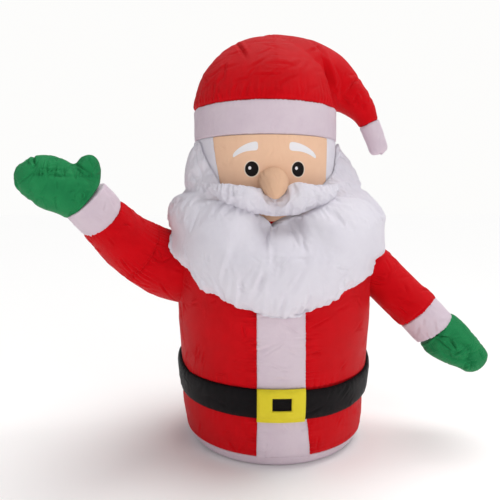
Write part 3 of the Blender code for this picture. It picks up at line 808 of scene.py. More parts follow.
# Hat
hat = {"arc": 0.207, "low": 0.9765, "voxel": 0.0039, "domeGrid": (110, 300), "tailGrid": (130, 150),
       "tipGrid": (70, 96),
       "dome": ((0.010, 1.1893), (0.034, 1.1875), (0.064, 1.181), (0.095, 1.167), (0.130, 1.144),
                (0.164, 1.110), (0.193, 1.066), (0.2070, 1.022), (0.2120, 0.998), (0.2115, 0.984),
                (0.2085, 0.9775), (0.203, 0.9767)),
       "tail": (((-0.040, 0.0, 1.050), 0.120), ((0.000, 0.0, 1.062), 0.138), ((0.060, 0.0, 1.074), 0.124),
                ((0.118, 0.0, 1.076), 0.105), ((0.160, -0.002, 1.068), 0.087),
                ((0.194, -0.004, 1.051), 0.070), ((0.222, -0.006, 1.030), 0.056),
                ((0.249, -0.008, 1.006), 0.046), ((0.270, -0.009, 0.981), 0.038),
                ((0.281, -0.010, 0.960), 0.032), ((0.2862, -0.010, 0.9492), 0.0295),
                ((0.2874, -0.010, 0.9467), 0.027)),
       "tip": (((0.2877, -0.010, 0.9461), 0.0270), ((0.2888, -0.010, 0.9438), 0.0290),
               ((0.2942, -0.010, 0.9326), 0.0300), ((0.302, -0.010, 0.914), 0.0297),
               ((0.309, -0.010, 0.897), 0.0287), ((0.3145, -0.010, 0.882), 0.0285),
               ((0.3185, -0.010, 0.870), 0.0275), ((0.3206, -0.010, 0.8632), 0.0245),
               ((0.3220, -0.010, 0.8590), 0.0170), ((0.3226, -0.010, 0.8572), 0.0050)),
       # line folds on the front of the crown: place across, height, lean, half length, width, depth
       "folds": ((0.150, 1.052, -71, 0.098, 0.0100, 0.0150), (0.161, 1.000, -74, 0.050, 0.0080, 0.0080),
                 (0.224, 1.050, 54, 0.046, 0.0075, 0.0090), (0.244, 1.070, 40, 0.022, 0.0060, 0.0025),
                 (-0.104, 1.128, -69, 0.052, 0.0060, 0.0075), (0.205, 1.005, -40, 0.030, 0.0055, 0.0050),
                 (0.236, 1.010, 130, 0.040, 0.0060, 0.0045), (0.262, 0.985, 118, 0.030, 0.0050, 0.0040),
                 (0.115, 1.150, -50, 0.050, 0.0070, 0.0040), (-0.150, 1.060, -100, 0.040, 0.0060, 0.0040))}


def joined(name, pieces, voxel):
    # one skin round several closed skins, by voxels
    bpy.ops.object.select_all(action="DESELECT")
    for piece in pieces:
        piece.select_set(True)
    bpy.context.view_layer.objects.active = pieces[0]
    bpy.ops.object.join()
    whole = pieces[0]
    whole.name = name
    remesh = whole.modifiers.new("skin", "REMESH")
    remesh.mode = "VOXEL"
    remesh.voxel_size = voxel
    remesh.use_smooth_shade = True
    settle = whole.modifiers.new("settle", "SMOOTH")
    settle.factor = 0.5
    settle.iterations = 4
    graph = bpy.context.evaluated_depsgraph_get()
    mesh = bpy.data.meshes.new_from_object(whole.evaluated_get(graph))
    whole.modifiers.clear()
    whole.data = mesh
    return whole


def makeCrown():
    dome = spun(hat["dome"], *hat["domeGrid"], head["shift"])[0]
    tail = swept([(c, r, r) for c, r in hat["tail"]], *hat["tailGrid"], (0.3, 0.0, 1.0))[0]
    piece = joined("hatCrownCloth", [gridPiece("dome", dome), gridPiece("tail", tail)], hat["voxel"])
    places, normals = meshArrays(piece)
    x, y, z = places.T
    turn = np.arctan2(x - head["shift"], -y)
    arc = turn * hat["arc"]
    inDome = np.clip((0.20 - x) / 0.05, 0, 1)
    front = np.clip((0.05 - y) / 0.05, 0, 1)
    height = pucker(arc, np.clip(z - hat["low"], 0, 1), 2 * math.pi * hat["arc"], 71, (24, 80), 0.0024,
                    0.14) * inDome
    # short wrinkles over the band, level creases on the left, and pulls along the tail
    height += creases(x, z, foldLines(72, 26, (-0.20, 0.15), (0.985, 1.05), 84, 26, (0.012, 0.035),
                                      (0.003, 0.006), (0.0008, 0.0028))) * front
    height += creases(x, z, foldLines(73, 26, (-0.22, 0.02), (1.02, 1.15), 14, 18, (0.03, 0.07),
                                      (0.003, 0.006), (0.0008, 0.0022)))
    height += creases(x, z, foldLines(74, 22, (0.17, 0.29), (0.95, 1.09), 120, 28, (0.015, 0.045),
                                      (0.004, 0.006), (0.0012, 0.0032)))
    height += creases(x, z, foldLines(77, 16, (0.00, 0.14), (1.06, 1.17), 35, 25, (0.02, 0.05),
                                      (0.004, 0.007), (0.0008, 0.0020)))
    height += creases(x, z, hat["folds"]) * front
    # the back and the crown's far side get plainer folds of the same kind
    height += creases(x, z, foldLines(78, 20, (-0.18, 0.16), (0.99, 1.12), 75, 35, (0.02, 0.05),
                                      (0.004, 0.007), (0.0010, 0.0030))) * (1 - front)
    # one sewn seam runs over the crown from front to back
    seamGap = np.abs(x + 0.012)
    height += (pucker(z, seamGap, 0.5, 79, (24, 60), 0.0012, 0.2)
               - 0.0014 * np.exp(-(seamGap / 0.0025) ** 2)) * (z > 0.978)
    # the lower edge stays flush with the band
    height *= np.clip((z - hat["low"]) / 0.012, 0.25, 1)
    setPlaces(piece, places + normals * height[:, None])
    return finish(piece, redCloth, "hat_crown")


def makeTip():
    points, turn, middle = swept([(c, r, r) for c, r in hat["tip"]], *hat["tipGrid"], (0.3, 0.0, 1.0))
    normal = gridNormals(points, middle[:, None])
    v = runLength(points)[:, None]
    height = pucker(turn * 0.033, v, 2 * math.pi * 0.03, 75, (9, 22), 0.0012)
    height += pucker(turn * 0.033, v[-1] - v, 2 * math.pi * 0.03, 76, (5, 12),
                     0.0022) * np.clip((v - 0.02) / 0.03, 0, 1)
    height += creases(turn * 0.03, v, foldLines(80, 12, (0, 0.19), (0.01, 0.08), 70, 30, (0.01, 0.025),
                                                (0.002, 0.004), (0.0006, 0.0016)), 2 * math.pi * 0.03)
    piece = gridPiece("hatTipCloth", points + normal * height[..., None])
    return finish(piece, whiteCloth, "hat_tip")


makeCrown()
makeTip()
print("hat made")


# Arms
arms = {
    "raised_sleeve": {"guide": (0.5, 0.0, 0.9), "rows": 170, "around": 180, "seed": 81, "joint": 0.224,
        "stations": (
        ((-0.200, 0.000, 0.493), 0.100), ((-0.260, -0.008, 0.506), 0.104), ((-0.307, -0.020, 0.520), 0.103),
        ((-0.352, -0.032, 0.540), 0.098), ((-0.395, -0.050, 0.567), 0.091), ((-0.432, -0.076, 0.598), 0.083),
        ((-0.461, -0.110, 0.635), 0.074), ((-0.4842, -0.1378, 0.6672), 0.0667),
        ((-0.486, -0.140, 0.670), 0.0650))},
    "lowered_sleeve": {"guide": (0.7, 0.0, 0.7), "rows": 160, "around": 155, "seed": 82, "joint": None,
        "stations": (
        ((0.200, 0.000, 0.556), 0.068), ((0.262, -0.004, 0.537), 0.0700), ((0.316, -0.010, 0.500), 0.0700),
        ((0.344, -0.020, 0.472), 0.0680), ((0.371, -0.036, 0.443), 0.0675), ((0.403, -0.048, 0.411), 0.0668),
        ((0.4345, -0.0595, 0.3827), 0.0655), ((0.436, -0.060, 0.381), 0.0640))},
    "raised_cuff": {"guide": (0.5, 0.0, 0.9), "rows": 50, "around": 150, "seed": 83, "joint": None,
        "stations": (
        ((-0.4863, -0.1404, 0.6704), 0.0650), ((-0.4876, -0.1418, 0.6720), 0.0665),
        ((-0.494, -0.1465, 0.680), 0.0673), ((-0.504, -0.153, 0.693), 0.0675),
        ((-0.515, -0.160, 0.7065), 0.0665), ((-0.5216, -0.1641, 0.7143), 0.0650),
        ((-0.5226, -0.1647, 0.7155), 0.0635))},
    "lowered_cuff": {"guide": (0.7, 0.0, 0.7), "rows": 50, "around": 140, "seed": 84, "joint": None,
        "stations": (
        ((0.4363, -0.0601, 0.3807), 0.0640), ((0.4376, -0.0605, 0.3793), 0.0652),
        ((0.445, -0.063, 0.371), 0.0658), ((0.460, -0.067, 0.354), 0.0660),
        ((0.475, -0.072, 0.337), 0.0650), ((0.4815, -0.0745, 0.3298), 0.0638),
        ((0.4826, -0.0748, 0.3284), 0.0625))}}


def makeTube(node, material, foldCount, foldDepth):
    # a sleeve or cuff: gathers at both seams, crossing creases, and where there is one a sewn elbow seam
    spec = arms[node]
    points, turn, middle = swept([(c, r, r) for c, r in spec["stations"]], spec["rows"], spec["around"],
                                 spec["guide"])
    normal = gridNormals(points, middle[:, None])
    radius = spec["stations"][len(spec["stations"]) // 2][1]
    v = runLength(points)[:, None]
    arc = turn[None, :] * radius
    length = 2 * math.pi * radius
    seed = spec["seed"]
    height = pucker(arc, v[-1] - v, length, seed, (10, 30), 0.0012, 0.3)
    height += pucker(arc, v, length, seed + 20, (10, 30), 0.0012, 0.3)
    height += creases(arc, v, foldLines(seed + 40, foldCount, (0, length), (0.02, float(v[-1])), 90, 42,
                                        (0.012, 0.045), (0.003, 0.007), foldDepth), length)
    if spec["joint"]:
        gap = np.abs(v - spec["joint"] - 0.010 * np.sin(turn)[None, :])
        height += pucker(arc, gap, length, seed + 60, (12, 34), 0.0032,
                         0.16) - 0.0045 * np.exp(-(gap / 0.004) ** 2)
    piece = gridPiece(node + "_cloth", points + normal * height[..., None])
    return finish(piece, material, node)


makeTube("raised_sleeve", redCloth, 90, (0.0014, 0.0050))
makeTube("lowered_sleeve", redCloth, 80, (0.0014, 0.0046))
makeTube("raised_cuff", whiteCloth, 26, (0.0008, 0.0028))
makeTube("lowered_cuff", whiteCloth, 26, (0.0008, 0.0028))

mittens = {
    "raised_mitten": {"guide": (0.6, 0.0, 0.8), "hand": (
        ((-0.5232, -0.1652, 0.7162), 0.0625, 0.060), ((-0.526, -0.1665, 0.7187), 0.0655, 0.062),
        ((-0.531, -0.168, 0.7225), 0.0690, 0.063), ((-0.551, -0.174, 0.736), 0.0715, 0.062),
        ((-0.575, -0.181, 0.749), 0.0735, 0.061), ((-0.600, -0.187, 0.759), 0.0740, 0.058),
        ((-0.625, -0.194, 0.767), 0.0690, 0.053), ((-0.648, -0.200, 0.772), 0.0590, 0.045),
        ((-0.667, -0.203, 0.776), 0.0430, 0.034), ((-0.680, -0.205, 0.779), 0.0260, 0.020),
        ((-0.686, -0.206, 0.780), 0.0110, 0.008), ((-0.6875, -0.206, 0.7805), 0.003, 0.003)),
        "thumbGuide": (1.0, 0.0, 0.2), "thumb": (
        ((-0.533, -0.172, 0.745), 0.036, 0.034), ((-0.522, -0.174, 0.768), 0.040, 0.037),
        ((-0.513, -0.176, 0.790), 0.0370, 0.034), ((-0.508, -0.178, 0.808), 0.0320, 0.029),
        ((-0.505, -0.180, 0.822), 0.0240, 0.021), ((-0.504, -0.181, 0.830), 0.0150, 0.013),
        ((-0.504, -0.181, 0.834), 0.0060, 0.005))},
    "lowered_mitten": {"guide": (0.7, 0.0, 0.7), "hand": (
        ((0.4836, -0.0752, 0.3274), 0.0615, 0.060), ((0.487, -0.076, 0.3245), 0.0650, 0.062),
        ((0.492, -0.077, 0.321), 0.0675, 0.063), ((0.520, -0.085, 0.300), 0.0685, 0.0600),
        ((0.543, -0.090, 0.283), 0.0640, 0.057), ((0.564, -0.094, 0.267), 0.0575, 0.0510),
        ((0.583, -0.098, 0.251), 0.0490, 0.043), ((0.600, -0.102, 0.236), 0.0430, 0.0330),
        ((0.608, -0.104, 0.228), 0.0330, 0.0220), ((0.613, -0.105, 0.223), 0.0150, 0.0100),
        ((0.6137, -0.105, 0.2222), 0.005, 0.004)),
        "thumbGuide": (0.7, 0.0, 0.7), "thumb": (
        ((0.488, -0.108, 0.302), 0.022, 0.020), ((0.503, -0.122, 0.294), 0.0260, 0.023),
        ((0.522, -0.132, 0.284), 0.0270, 0.024), ((0.541, -0.134, 0.272), 0.0230, 0.020),
        ((0.553, -0.130, 0.264), 0.0150, 0.013), ((0.559, -0.126, 0.259), 0.0060, 0.005))}}


air = {"pressure": 3.0, "slack": 0.05, "steps": 18, "cap": 0.007}
mittenVoxel = 0.0037


def makeMitten(node, seam, lines, gathers):
    # hand and thumb in one skin, blown up, with one subdivision before its folds
    spec = mittens[node]
    hand, middle = swept(spec["hand"], 90, 140, spec["guide"], 0.15)[::2]
    thumb = swept(spec["thumb"], 60, 90, spec["thumbGuide"])[0]
    piece = joined(node + "_cloth", [gridPiece("hand", hand), gridPiece("thumb", thumb)], mittenVoxel)
    wrist = np.array(spec["hand"][0][0])
    along = np.array(spec["hand"][3][0]) - wrist
    along /= np.linalg.norm(along)
    places, normals = meshArrays(piece)
    held = np.clip(1 - ((places - wrist) @ along) / 0.006, 0, 1)
    setPlaces(piece, places - normals * 0.0015 * (1 - held)[:, None])
    move = blown(piece, held, air)
    places, normals = meshArrays(piece)
    setPlaces(piece, places + move)
    smooth = piece.modifiers.new("smooth", "SUBSURF")
    smooth.levels = smooth.render_levels = 1
    graph = bpy.context.evaluated_depsgraph_get()
    mesh = bpy.data.meshes.new_from_object(piece.evaluated_get(graph))
    piece.modifiers.clear()
    piece.data = mesh
    places, normals = meshArrays(piece)
    x, y, z = places.T
    front = np.clip((middle[40, 1] - y) / 0.02 + 0.5, 0, 1)
    height = creases(x, z, lines)
    if seam:
        # the palm's sewn edge: a narrow valley with upright gathers over it
        height += creases(x, z, seam["valley"]) * front
        height += (pucker(x, np.clip(z - seam["z"], 0, 1), 0.3, seam["seed"], (14, 32), 0.0028, 0.14) * front
                   * (z > seam["z"]) * np.clip((x - seam["from"]) / 0.02, 0, 1)
                   * np.clip((seam["to"] - x) / 0.02, 0, 1))
        dent = np.exp(-((x - seam["dent"][0]) ** 2 + (z - seam["dent"][1]) ** 2) / 0.024 ** 2)
        height -= 0.010 * dent
    height += creases(x, z, gathers) * front
    setPlaces(piece, places + normals * height[:, None])
    piece.data.shade_smooth()
    return finish(piece, greenCloth, node)


makeMitten("raised_mitten",
           {"z": 0.776, "from": -0.645, "to": -0.475, "seed": 93, "dent": (-0.562, 0.795),
            "valley": ((-0.575, 0.778, -4, 0.080, 0.0050, 0.0030),
                       (-0.655, 0.765, 30, 0.035, 0.0035, 0.0030))},
           foldLines(91, 50, (-0.68, -0.50), (0.70, 0.83), 60, 40, (0.008, 0.028), (0.0018, 0.004),
                     (0.0010, 0.0030)),
           ((-0.631, 0.814, 125, 0.024, 0.0040, 0.0095), (-0.622, 0.803, 60, 0.020, 0.0040, 0.0040),
            (-0.594, 0.792, 96, 0.030, 0.0030, 0.0055), (-0.575, 0.790, 84, 0.028, 0.0030, 0.0055),
            (-0.553, 0.790, 92, 0.028, 0.0030, 0.0050), (-0.520, 0.800, 150, 0.030, 0.0035, 0.0065),
            (-0.497, 0.812, 115, 0.022, 0.0035, 0.0035), (-0.484, 0.800, 70, 0.024, 0.0035, 0.0035),
            (-0.678, 0.756, 100, 0.022, 0.0045, 0.0045)))
makeMitten("lowered_mitten", None,
           foldLines(92, 50, (0.47, 0.62), (0.21, 0.36), 45, 42, (0.008, 0.028), (0.0018, 0.004),
                     (0.0010, 0.0030)),
           ((0.480, 0.322, -8, 0.040, 0.0032, 0.0080), (0.509, 0.302, -62, 0.028, 0.0032, 0.0085),
            (0.482, 0.300, -40, 0.040, 0.0030, 0.0065), (0.525, 0.276, 35, 0.026, 0.0030, 0.0060),
            (0.570, 0.236, 95, 0.020, 0.0040, 0.0060), (0.562, 0.228, 60, 0.018, 0.0040, 0.0055),
            (0.580, 0.232, 125, 0.018, 0.0035, 0.0050), (0.569, 0.244, 10, 0.022, 0.0040, 0.0055),
            (0.555, 0.268, 20, 0.040, 0.0050, 0.0030), (0.600, 0.262, -60, 0.035, 0.0050, 0.0030)))
print("arms made")


# Beard, moustache and nose
beard = {"half": 99.0, "rows": 320, "outer": 160, "inner": 24, "arc": 0.33, "waist": 0.740,
         "lowTurns": (-99, -90, -82, -74, -64, -57, -52.3, -48.2, -44.4, -42, -38.5, -35.4, -32.4, -29.6,
                      -26.9, -24.2, -21.6, -19, -16.6, -14.2, -9, -5, 1, 7.5, 9.8, 12.4, 16.6, 21, 25.6,
                      28.1, 31.2, 34, 37, 40.3, 44, 48.2, 53.2, 60, 68, 76, 88, 99),
         "low": (0.715, 0.670, 0.625, 0.565, 0.538, 0.528, 0.517, 0.499, 0.480, 0.476, 0.473, 0.472, 0.466,
                 0.458, 0.455, 0.448, 0.441, 0.440, 0.438, 0.434, 0.426, 0.421, 0.419, 0.421, 0.432, 0.435,
                 0.444, 0.450, 0.459, 0.468, 0.477, 0.481, 0.484, 0.487, 0.490, 0.493, 0.498, 0.502, 0.508,
                 0.530, 0.600, 0.690),
         "highTurns": (-99, -90, -80, -72, -65.2, -61.1, -55.3, -49.3, -44.2, -41, -33, -20, -11.7, -8.5,
                       -5.1, 1.5, 8.3, 14, 22, 32, 40.8, 52.8, 58, 62, 66, 70, 74, 78, 84, 90, 99),
         "high": (0.795, 0.850, 0.882, 0.885, 0.875, 0.846, 0.814, 0.786, 0.761, 0.748, 0.724, 0.692,
                  0.6700, 0.658, 0.6405, 0.6585, 0.6718, 0.680, 0.696, 0.722, 0.752, 0.781, 0.790, 0.797,
                  0.812, 0.836, 0.864, 0.884, 0.882, 0.850, 0.795),
         # how far out each side stands, by height
         "leftSide": ((0.42, 0.284), (0.455, 0.287), (0.49, 0.294), (0.538, 0.302), (0.568, 0.316),
                      (0.60, 0.312), (0.62, 0.3085), (0.658, 0.316), (0.687, 0.3165), (0.710, 0.307),
                      (0.724, 0.296), (0.736, 0.274), (0.747, 0.267), (0.77, 0.266), (0.806, 0.262),
                      (0.858, 0.2465), (0.888, 0.226)),
         "rightSide": ((0.42, 0.284), (0.49, 0.288), (0.52, 0.297), (0.540, 0.300), (0.552, 0.302),
                       (0.572, 0.326), (0.601, 0.326), (0.636, 0.3245), (0.667, 0.3265), (0.691, 0.3205),
                       (0.714, 0.303), (0.734, 0.2825), (0.747, 0.262), (0.765, 0.2535), (0.799, 0.2405),
                       (0.840, 0.2230), (0.861, 0.2065), (0.879, 0.1955), (0.888, 0.190)),
         "base": ((0.40, 0.303), (0.55, 0.303), (0.60, 0.300), (0.66, 0.289), (0.70, 0.270), (0.74, 0.246),
                  (0.79, 0.231), (0.83, 0.223), (0.886, 0.2165)),
         "puffTurns": (0, 12, 25, 38, 48, 57, 67, 77, 88, 99),
         "puff": (0.050, 0.050, 0.048, 0.045, 0.042, 0.040, 0.038, 0.036, 0.030, 0.016),
         "air": {"rows": 160, "cols": 92, "pressure": 2.0, "slack": 0.05, "steps": 16, "cap": 0.007},
         # long folds that fan up from the lower edge: arc, height, lean, half length, width, depth
         "folds": ((-0.060, 0.520, 68, 0.055, 0.0070, 0.0060), (0.020, 0.520, 62, 0.050, 0.0065, 0.0055),
                   (-0.105, 0.505, 84, 0.045, 0.0060, 0.0050), (-0.165, 0.500, 108, 0.040, 0.0060, 0.0050),
                   (-0.010, 0.468, 76, 0.050, 0.0060, 0.0065), (0.035, 0.452, 100, 0.030, 0.0055, 0.0050),
                   (-0.215, 0.520, 128, 0.045, 0.0060, 0.0045), (-0.255, 0.535, 135, 0.035, 0.0060, 0.0045),
                   (0.090, 0.490, 105, 0.045, 0.0060, 0.0040), (0.150, 0.505, 118, 0.040, 0.0060, 0.0040),
                   (-0.135, 0.560, 70, 0.060, 0.0080, 0.0035), (-0.030, 0.590, 80, 0.050, 0.0080, 0.0025),
                   (0.425, 0.5475, -12, 0.075, 0.0065, 0.0150))}


def eased(turn, turns, values, reach=7):
    # values read off a table of turns, with its corners rounded
    read = np.interp(turn, turns, values)
    blend = np.hanning(reach + 2)[1:-1]
    return np.convolve(np.pad(read, reach // 2, "edge"), blend / blend.sum(), "valid")


def makeBeard():
    # upright sections round the front, each a loop of bulging outside and hollowed inside
    degrees = np.linspace(-beard["half"], beard["half"], beard["rows"])
    outside = beard["outer"]
    turn = np.radians(degrees)[:, None]
    size = np.abs(degrees)[:, None]
    low = eased(degrees, beard["lowTurns"], beard["low"], 3)[:, None]
    high = eased(degrees, beard["highTurns"], beard["high"], 5)[:, None]
    puff = np.interp(size, beard["puffTurns"], beard["puff"])
    share = (0.5 - 0.5 * np.cos(np.linspace(0, math.pi, outside)))[None, :]
    z = low + (high - low) * share
    fromLow = z - low
    rim = 0.011 + 0.010 * np.clip((size - 40) / 25, 0, 1) * np.clip((92 - size) / 10, 0, 1)
    # the notch at the mouth cuts the upper edge alone, so the bag below it keeps its round front
    soft = np.maximum(eased(degrees, beard["highTurns"], beard["high"], 61)[:, None], high)
    soft = high + (soft - high) * np.clip((24 - size) / 8, 0, 1)
    inner = np.clip((fromLow - rim) / (soft - low - rim), 0, 1)
    bulge = puff * np.sin(math.pi * inner) ** 0.45 + 0.005 * np.clip(fromLow / rim, 0, 1) ** 0.5 * (1 - inner)
    waist = ((0.020 * np.exp(-((z - beard["waist"]) / 0.020) ** 2)
              + 0.010 * np.exp(-np.abs(z - beard["waist"]) / 0.006)) * np.clip((size - 25) / 20.0, 0, 1))
    grid = np.linspace(0.40, 0.90, 501)
    base, leftSide, rightSide = [
        np.interp(z, grid, hermite(np.array(beard[name])[:, 1], np.array(beard[name])[:, 0], grid))
        for name in ("base", "leftSide", "rightSide")]
    # the middle sinks in round the mouth
    mouth = np.clip((z - 0.585) / 0.065, 0, 1)
    mouth = np.exp(-((degrees[:, None] + 2.0) / 15.0) ** 4) * mouth * mouth * (3 - 2 * mouth)
    base = base - 0.067 * mouth
    bulge = bulge * (1 - 0.97 * mouth)
    front = base + bulge - waist * np.sin(math.pi * share)
    side = np.where(turn < 0, leftSide, rightSide) - 0.0015 * np.sin(math.pi * share)
    part = np.clip((size - 32) / 38, 0, 1)
    outer = front + (side - front) * part * part * (3 - 2 * part)
    # near its front seam each sideburn rises gently from the head
    rise = np.clip((high - z) / 0.075, 0, 1) ** 0.7
    held = np.clip((size - np.where(turn < 0, 60, 70)) / 12, 0, 1) + np.clip((0.735 - z) / 0.02, 0, 1)
    seamRadius = 0.2140 + head["shift"] * np.sin(turn)
    outer = seamRadius + (outer - seamRadius) * np.where(size > 34, np.maximum(rise, np.minimum(held, 1.0)),
                                                         1.0)
    inShare = np.linspace(1.0, 0.0, beard["inner"])[None, :]
    inZ = low + (high - low) * (0.01 + 0.98 * inShare)
    hug = np.interp(inZ, (0.52, 0.57, 0.604, 0.628, 0.640, 0.665),
                    (0.2940, 0.2845, 0.265, 0.239, 0.215, 0.2115))
    radius = np.concatenate([outer, hug + 0.006 * (1 - inShare) ** 12], axis=1)
    height = np.concatenate([z, inZ], axis=1)
    shift = np.concatenate([z * 0, np.interp(inZ, (0.62, 0.65), (0.0, head["shift"]))], axis=1)
    points = np.stack([shift + radius * np.sin(turn), -radius * np.cos(turn), height], -1)
    held = np.zeros(points.shape[:2])
    held[:, :3] = 1.0
    held[:, outside - 3:] = 1.0
    held[:4] = held[-4:] = 1.0
    held = np.maximum(held, 0.6 * np.concatenate(
        [np.exp(-((z - beard["waist"]) / 0.008) ** 2) * (size > 35), inZ * 0], axis=1))
    points = airFilled(points, held, beard["air"])
    # gathers at the lower seam that fan upwards, finer ones at the upper seam, and long soft folds
    arc = turn * beard["arc"] + z * 0
    fan = arc * (1 + 0.3 * fromLow / 0.2)
    folds = pucker(fan, np.clip(fromLow - 0.6 * rim, 0, 1), 2.1, 101, (26, 62), 0.0040,
                   0.15) * np.exp(-fromLow / 0.09)
    folds += pucker(arc, (soft - z).clip(0), 2.1, 102, (34, 90), 0.0016, 0.3)
    folds += pucker(arc, np.abs(z - beard["waist"]), 2.1, 105, (40, 110), 0.0022, 0.2) * (size > 38)
    folds += creases(arc, z, foldLines(103, 40, (-0.50, 0.50), (0.44, 0.60), 88, 20, (0.02, 0.055),
                                       (0.004, 0.007), (0.0008, 0.0026)))
    folds += creases(arc, z, foldLines(106, 34, (-0.55, 0.55), (0.58, 0.72), 70, 50, (0.02, 0.05),
                                       (0.003, 0.006), (0.0005, 0.0016)))
    folds += creases(arc, z, foldLines(107, 90, (-0.45, 0.45), (0.43, 0.58), 85, 34, (0.012, 0.04),
                                       (0.0022, 0.0045), (0.0012, 0.0036)))
    folds += creases(arc, z, beard["folds"])
    folds += creases(np.abs(arc), z, foldLines(104, 26, (0.28, 0.54), (0.58, 0.87), 60, 30, (0.02, 0.05),
                                               (0.004, 0.007), (0.0010, 0.0034)))
    normal = gridNormals(points[:, :outside], np.array([0.0, 0.1, 0.65])[None, None, :])
    fade = np.clip(fromLow / 0.010, 0, 1) * np.clip((high - z) / 0.004, 0, 1) * np.clip((99 - size) / 4, 0, 1)
    points[:, :outside] += normal * (folds * fade)[..., None]
    # above the coat the outside stays outside the head's cloth
    off = points[:, :outside] - np.array([head["shift"], 0.0, 0.0])
    near = np.hypot(off[..., 0], off[..., 1])
    grow = np.where(points[:, :outside, 2] > 0.66, np.maximum(1.0, 0.2150 / near), 1.0)
    points[:, :outside, 0] = head["shift"] + off[..., 0] * grow
    points[:, :outside, 1] = off[..., 1] * grow
    room = np.full(points.shape[:2], 0.0035)
    room[:, :outside] += 0.009 * np.sin(math.pi * share) ** 0.5
    for node in ("raised_sleeve", "lowered_sleeve"):
        points = keepClear(points, arms[node]["stations"], room)
    piece = gridPiece("beardCloth", points)
    return finish(piece, paleCloth, "beard")


moustache = {"rows": 210, "around": 100, "arc": 0.27, "cleft": 1.5,
             "turns": (-47.0, -41, -33, -25, -18.0, -12.7, -6.5, -3.3, 1.5, 5, 7.1, 9.2, 12.6, 15.3, 21.3,
                       24.8, 32.8, 37, 45.6, 52.0),
             "upper": (0.7640, 0.760, 0.757, 0.755, 0.752, 0.749, 0.744, 0.733, 0.717, 0.722, 0.731, 0.750,
                       0.758, 0.760, 0.756, 0.754, 0.755, 0.756, 0.760, 0.7655),
             "lower": (0.7615, 0.741, 0.722, 0.700, 0.689, 0.682, 0.679, 0.676, 0.673, 0.674, 0.675, 0.676,
                       0.677, 0.679, 0.689, 0.694, 0.706, 0.713, 0.738, 0.7630),
             "thickTurns": (-47.0, -40, -31, -21, -10, -4, 1.5, 7, 14, 25, 35, 45, 52.0),
             "thick": (0.0015, 0.008, 0.015, 0.022, 0.026, 0.021, 0.011, 0.022, 0.027, 0.025, 0.017, 0.008,
                       0.0015),
             "reachTurns": (-47.0, -27, -14, -4, 1.5, 7, 16, 30, 52.0),
             "reach": (0.252, 0.265, 0.260, 0.244, 0.236, 0.245, 0.262, 0.268, 0.252),
             "air": {"rows": 84, "cols": 44, "pressure": 2.0, "slack": 0.05, "steps": 16, "cap": 0.0045}}


def makeMoustache():
    # a lens-shaped loop carried round the face between two edges, thin at the tips and the cleft
    degrees = np.linspace(moustache["turns"][0], moustache["turns"][-1], moustache["rows"])
    around = np.radians(degrees)[:, None]
    upper, lower = [eased(degrees, moustache["turns"], moustache[name], 9)[:, None]
                    for name in ("upper", "lower")]
    thick = eased(degrees, moustache["thickTurns"], moustache["thick"], 9)[:, None]
    reach = eased(degrees, moustache["reachTurns"], moustache["reach"], 9)[:, None]
    middle, half = (upper + lower) / 2, (upper - lower) / 2
    loop = (np.arange(moustache["around"]) * 2 * math.pi / moustache["around"])[None, :]
    up = np.cos(loop)
    out = np.sin(loop) * np.abs(np.sin(loop)) ** 0.3
    radius = reach + thick * np.where(out > 0, out, out * 0.7)
    z = middle + half * up
    points = np.stack([head["shift"] + radius * np.sin(around), -radius * np.cos(around), z], -1)
    held = np.maximum((np.abs(up) > 0.995) * 1.0 + around * 0,
                      ((degrees < -44) | (degrees > 49))[:, None] * 1.0 + up * 0)
    held = np.maximum(held, 0.7 * np.exp(-((degrees - moustache["cleft"]) / 1.5) ** 2)[:, None] + up * 0)
    points = airFilled(points, np.minimum(held, 1.0), moustache["air"])
    arc = around * moustache["arc"]
    edge = half * (1 - np.abs(up))
    folds = pucker(arc + 0 * up, edge * 1.5, 1.0, 111, (34, 96), 0.0020, 0.3)
    spokes = foldLines(112, 30, (-0.17, 0.20), (0.690, 0.750), 60, 40, (0.010, 0.032), (0.0025, 0.005),
                       (0.0008, 0.0026))
    folds = folds + creases(arc + 0 * up, z, spokes)
    folds = folds - 0.006 * np.exp(-(np.abs(degrees - moustache["cleft"]) / 1.1))[:, None]
    normal = gridNormals(points, np.array([head["shift"], 0.0, 0.0]) + np.stack(
        [reach * np.sin(around), -reach * np.cos(around), middle], -1))
    points += normal * (folds * np.clip(half / 0.02, 0, 1) * (out > -0.2)
                        * np.clip(edge / 0.003, 0, 1))[..., None]
    piece = gridPiece("moustacheCloth", points)
    return finish(piece, paleCloth, "moustache")


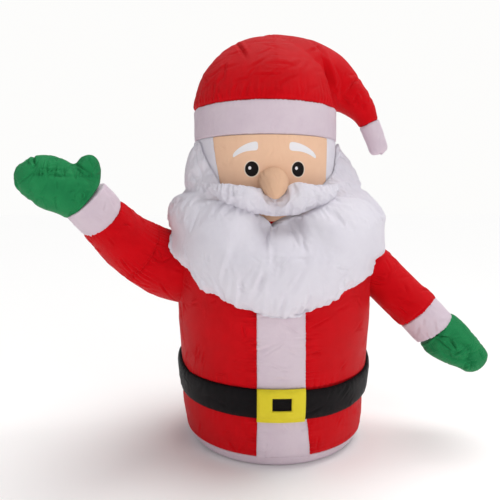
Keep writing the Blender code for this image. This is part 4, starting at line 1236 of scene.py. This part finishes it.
nose = (((-0.022, -0.204, 0.7635), 0.030, 0.030), ((-0.022, -0.2075, 0.763), 0.0350, 0.0350),
        ((-0.022, -0.214, 0.762), 0.0378, 0.0378), ((-0.022, -0.224, 0.760), 0.0382, 0.0375),
        ((-0.022, -0.238, 0.7555), 0.0365, 0.0345), ((-0.022, -0.254, 0.749), 0.0315, 0.0295),
        ((-0.022, -0.271, 0.740), 0.0240, 0.0220), ((-0.022, -0.283, 0.730), 0.0155, 0.0140),
        ((-0.022, -0.290, 0.722), 0.0075, 0.0070), ((-0.022, -0.292, 0.719), 0.002, 0.002))

noseGrid = (64, 100)
noseArc = 0.037
noseAir = {"rows": 32, "cols": 50, "pressure": 2.0, "slack": 0.05, "steps": 14, "cap": 0.0025}


def makeNose():
    points, turn, middle = swept(nose, *noseGrid, (1.0, 0.0, 0.0))
    held = np.repeat(((np.arange(noseGrid[0]) < 3) * 1.0)[:, None], noseGrid[1], axis=1)
    points = airFilled(points, held, noseAir)
    normal = gridNormals(points, middle[:, None])
    v = runLength(points)[:, None]
    arc = turn[None, :] * noseArc
    length = 2 * math.pi * noseArc
    height = pucker(arc, v, length, 121, (7, 20), 0.0026, 0.2)
    height += pucker(arc, v[-1] - v, length, 123, (5, 12), 0.0012, 0.2) * np.clip((v[-1] - v) / 0.02, 0, 1)
    height += creases(arc, v, foldLines(122, 24, (0, length), (0.01, 0.08), 60, 45, (0.008, 0.025),
                                        (0.0020, 0.0045), (0.0006, 0.0020)), length)
    piece = gridPiece("noseCloth", points + normal * (height * np.clip((v[-1] - v) / 0.006, 0, 1))[..., None])
    return finish(piece, skinCloth, "nose")


makeBeard()
makeMoustache()
makeNose()
print("beard made")


# Floor
def makeFloor(spec):
    half = spec["floorSize"] / 2
    mesh = bpy.data.meshes.new("floor")
    mesh.from_pydata([(-half, -half, -0.0005), (half, -half, -0.0005), (half, half, -0.0005),
                      (-half, half, -0.0005)], [],
                     [(0, 1, 2, 3)])
    floor = bpy.data.objects.new("floor", mesh)
    bpy.context.scene.collection.objects.link(floor)
    cloth = Cloth("floorPaint", 0.8, 0.0)
    cloth.surface.inputs["Base Color"].default_value = spec["floorColour"]
    cloth.surface.inputs["Roughness"].default_value = 0.8
    mesh.materials.append(cloth.material)


makeFloor(studio)
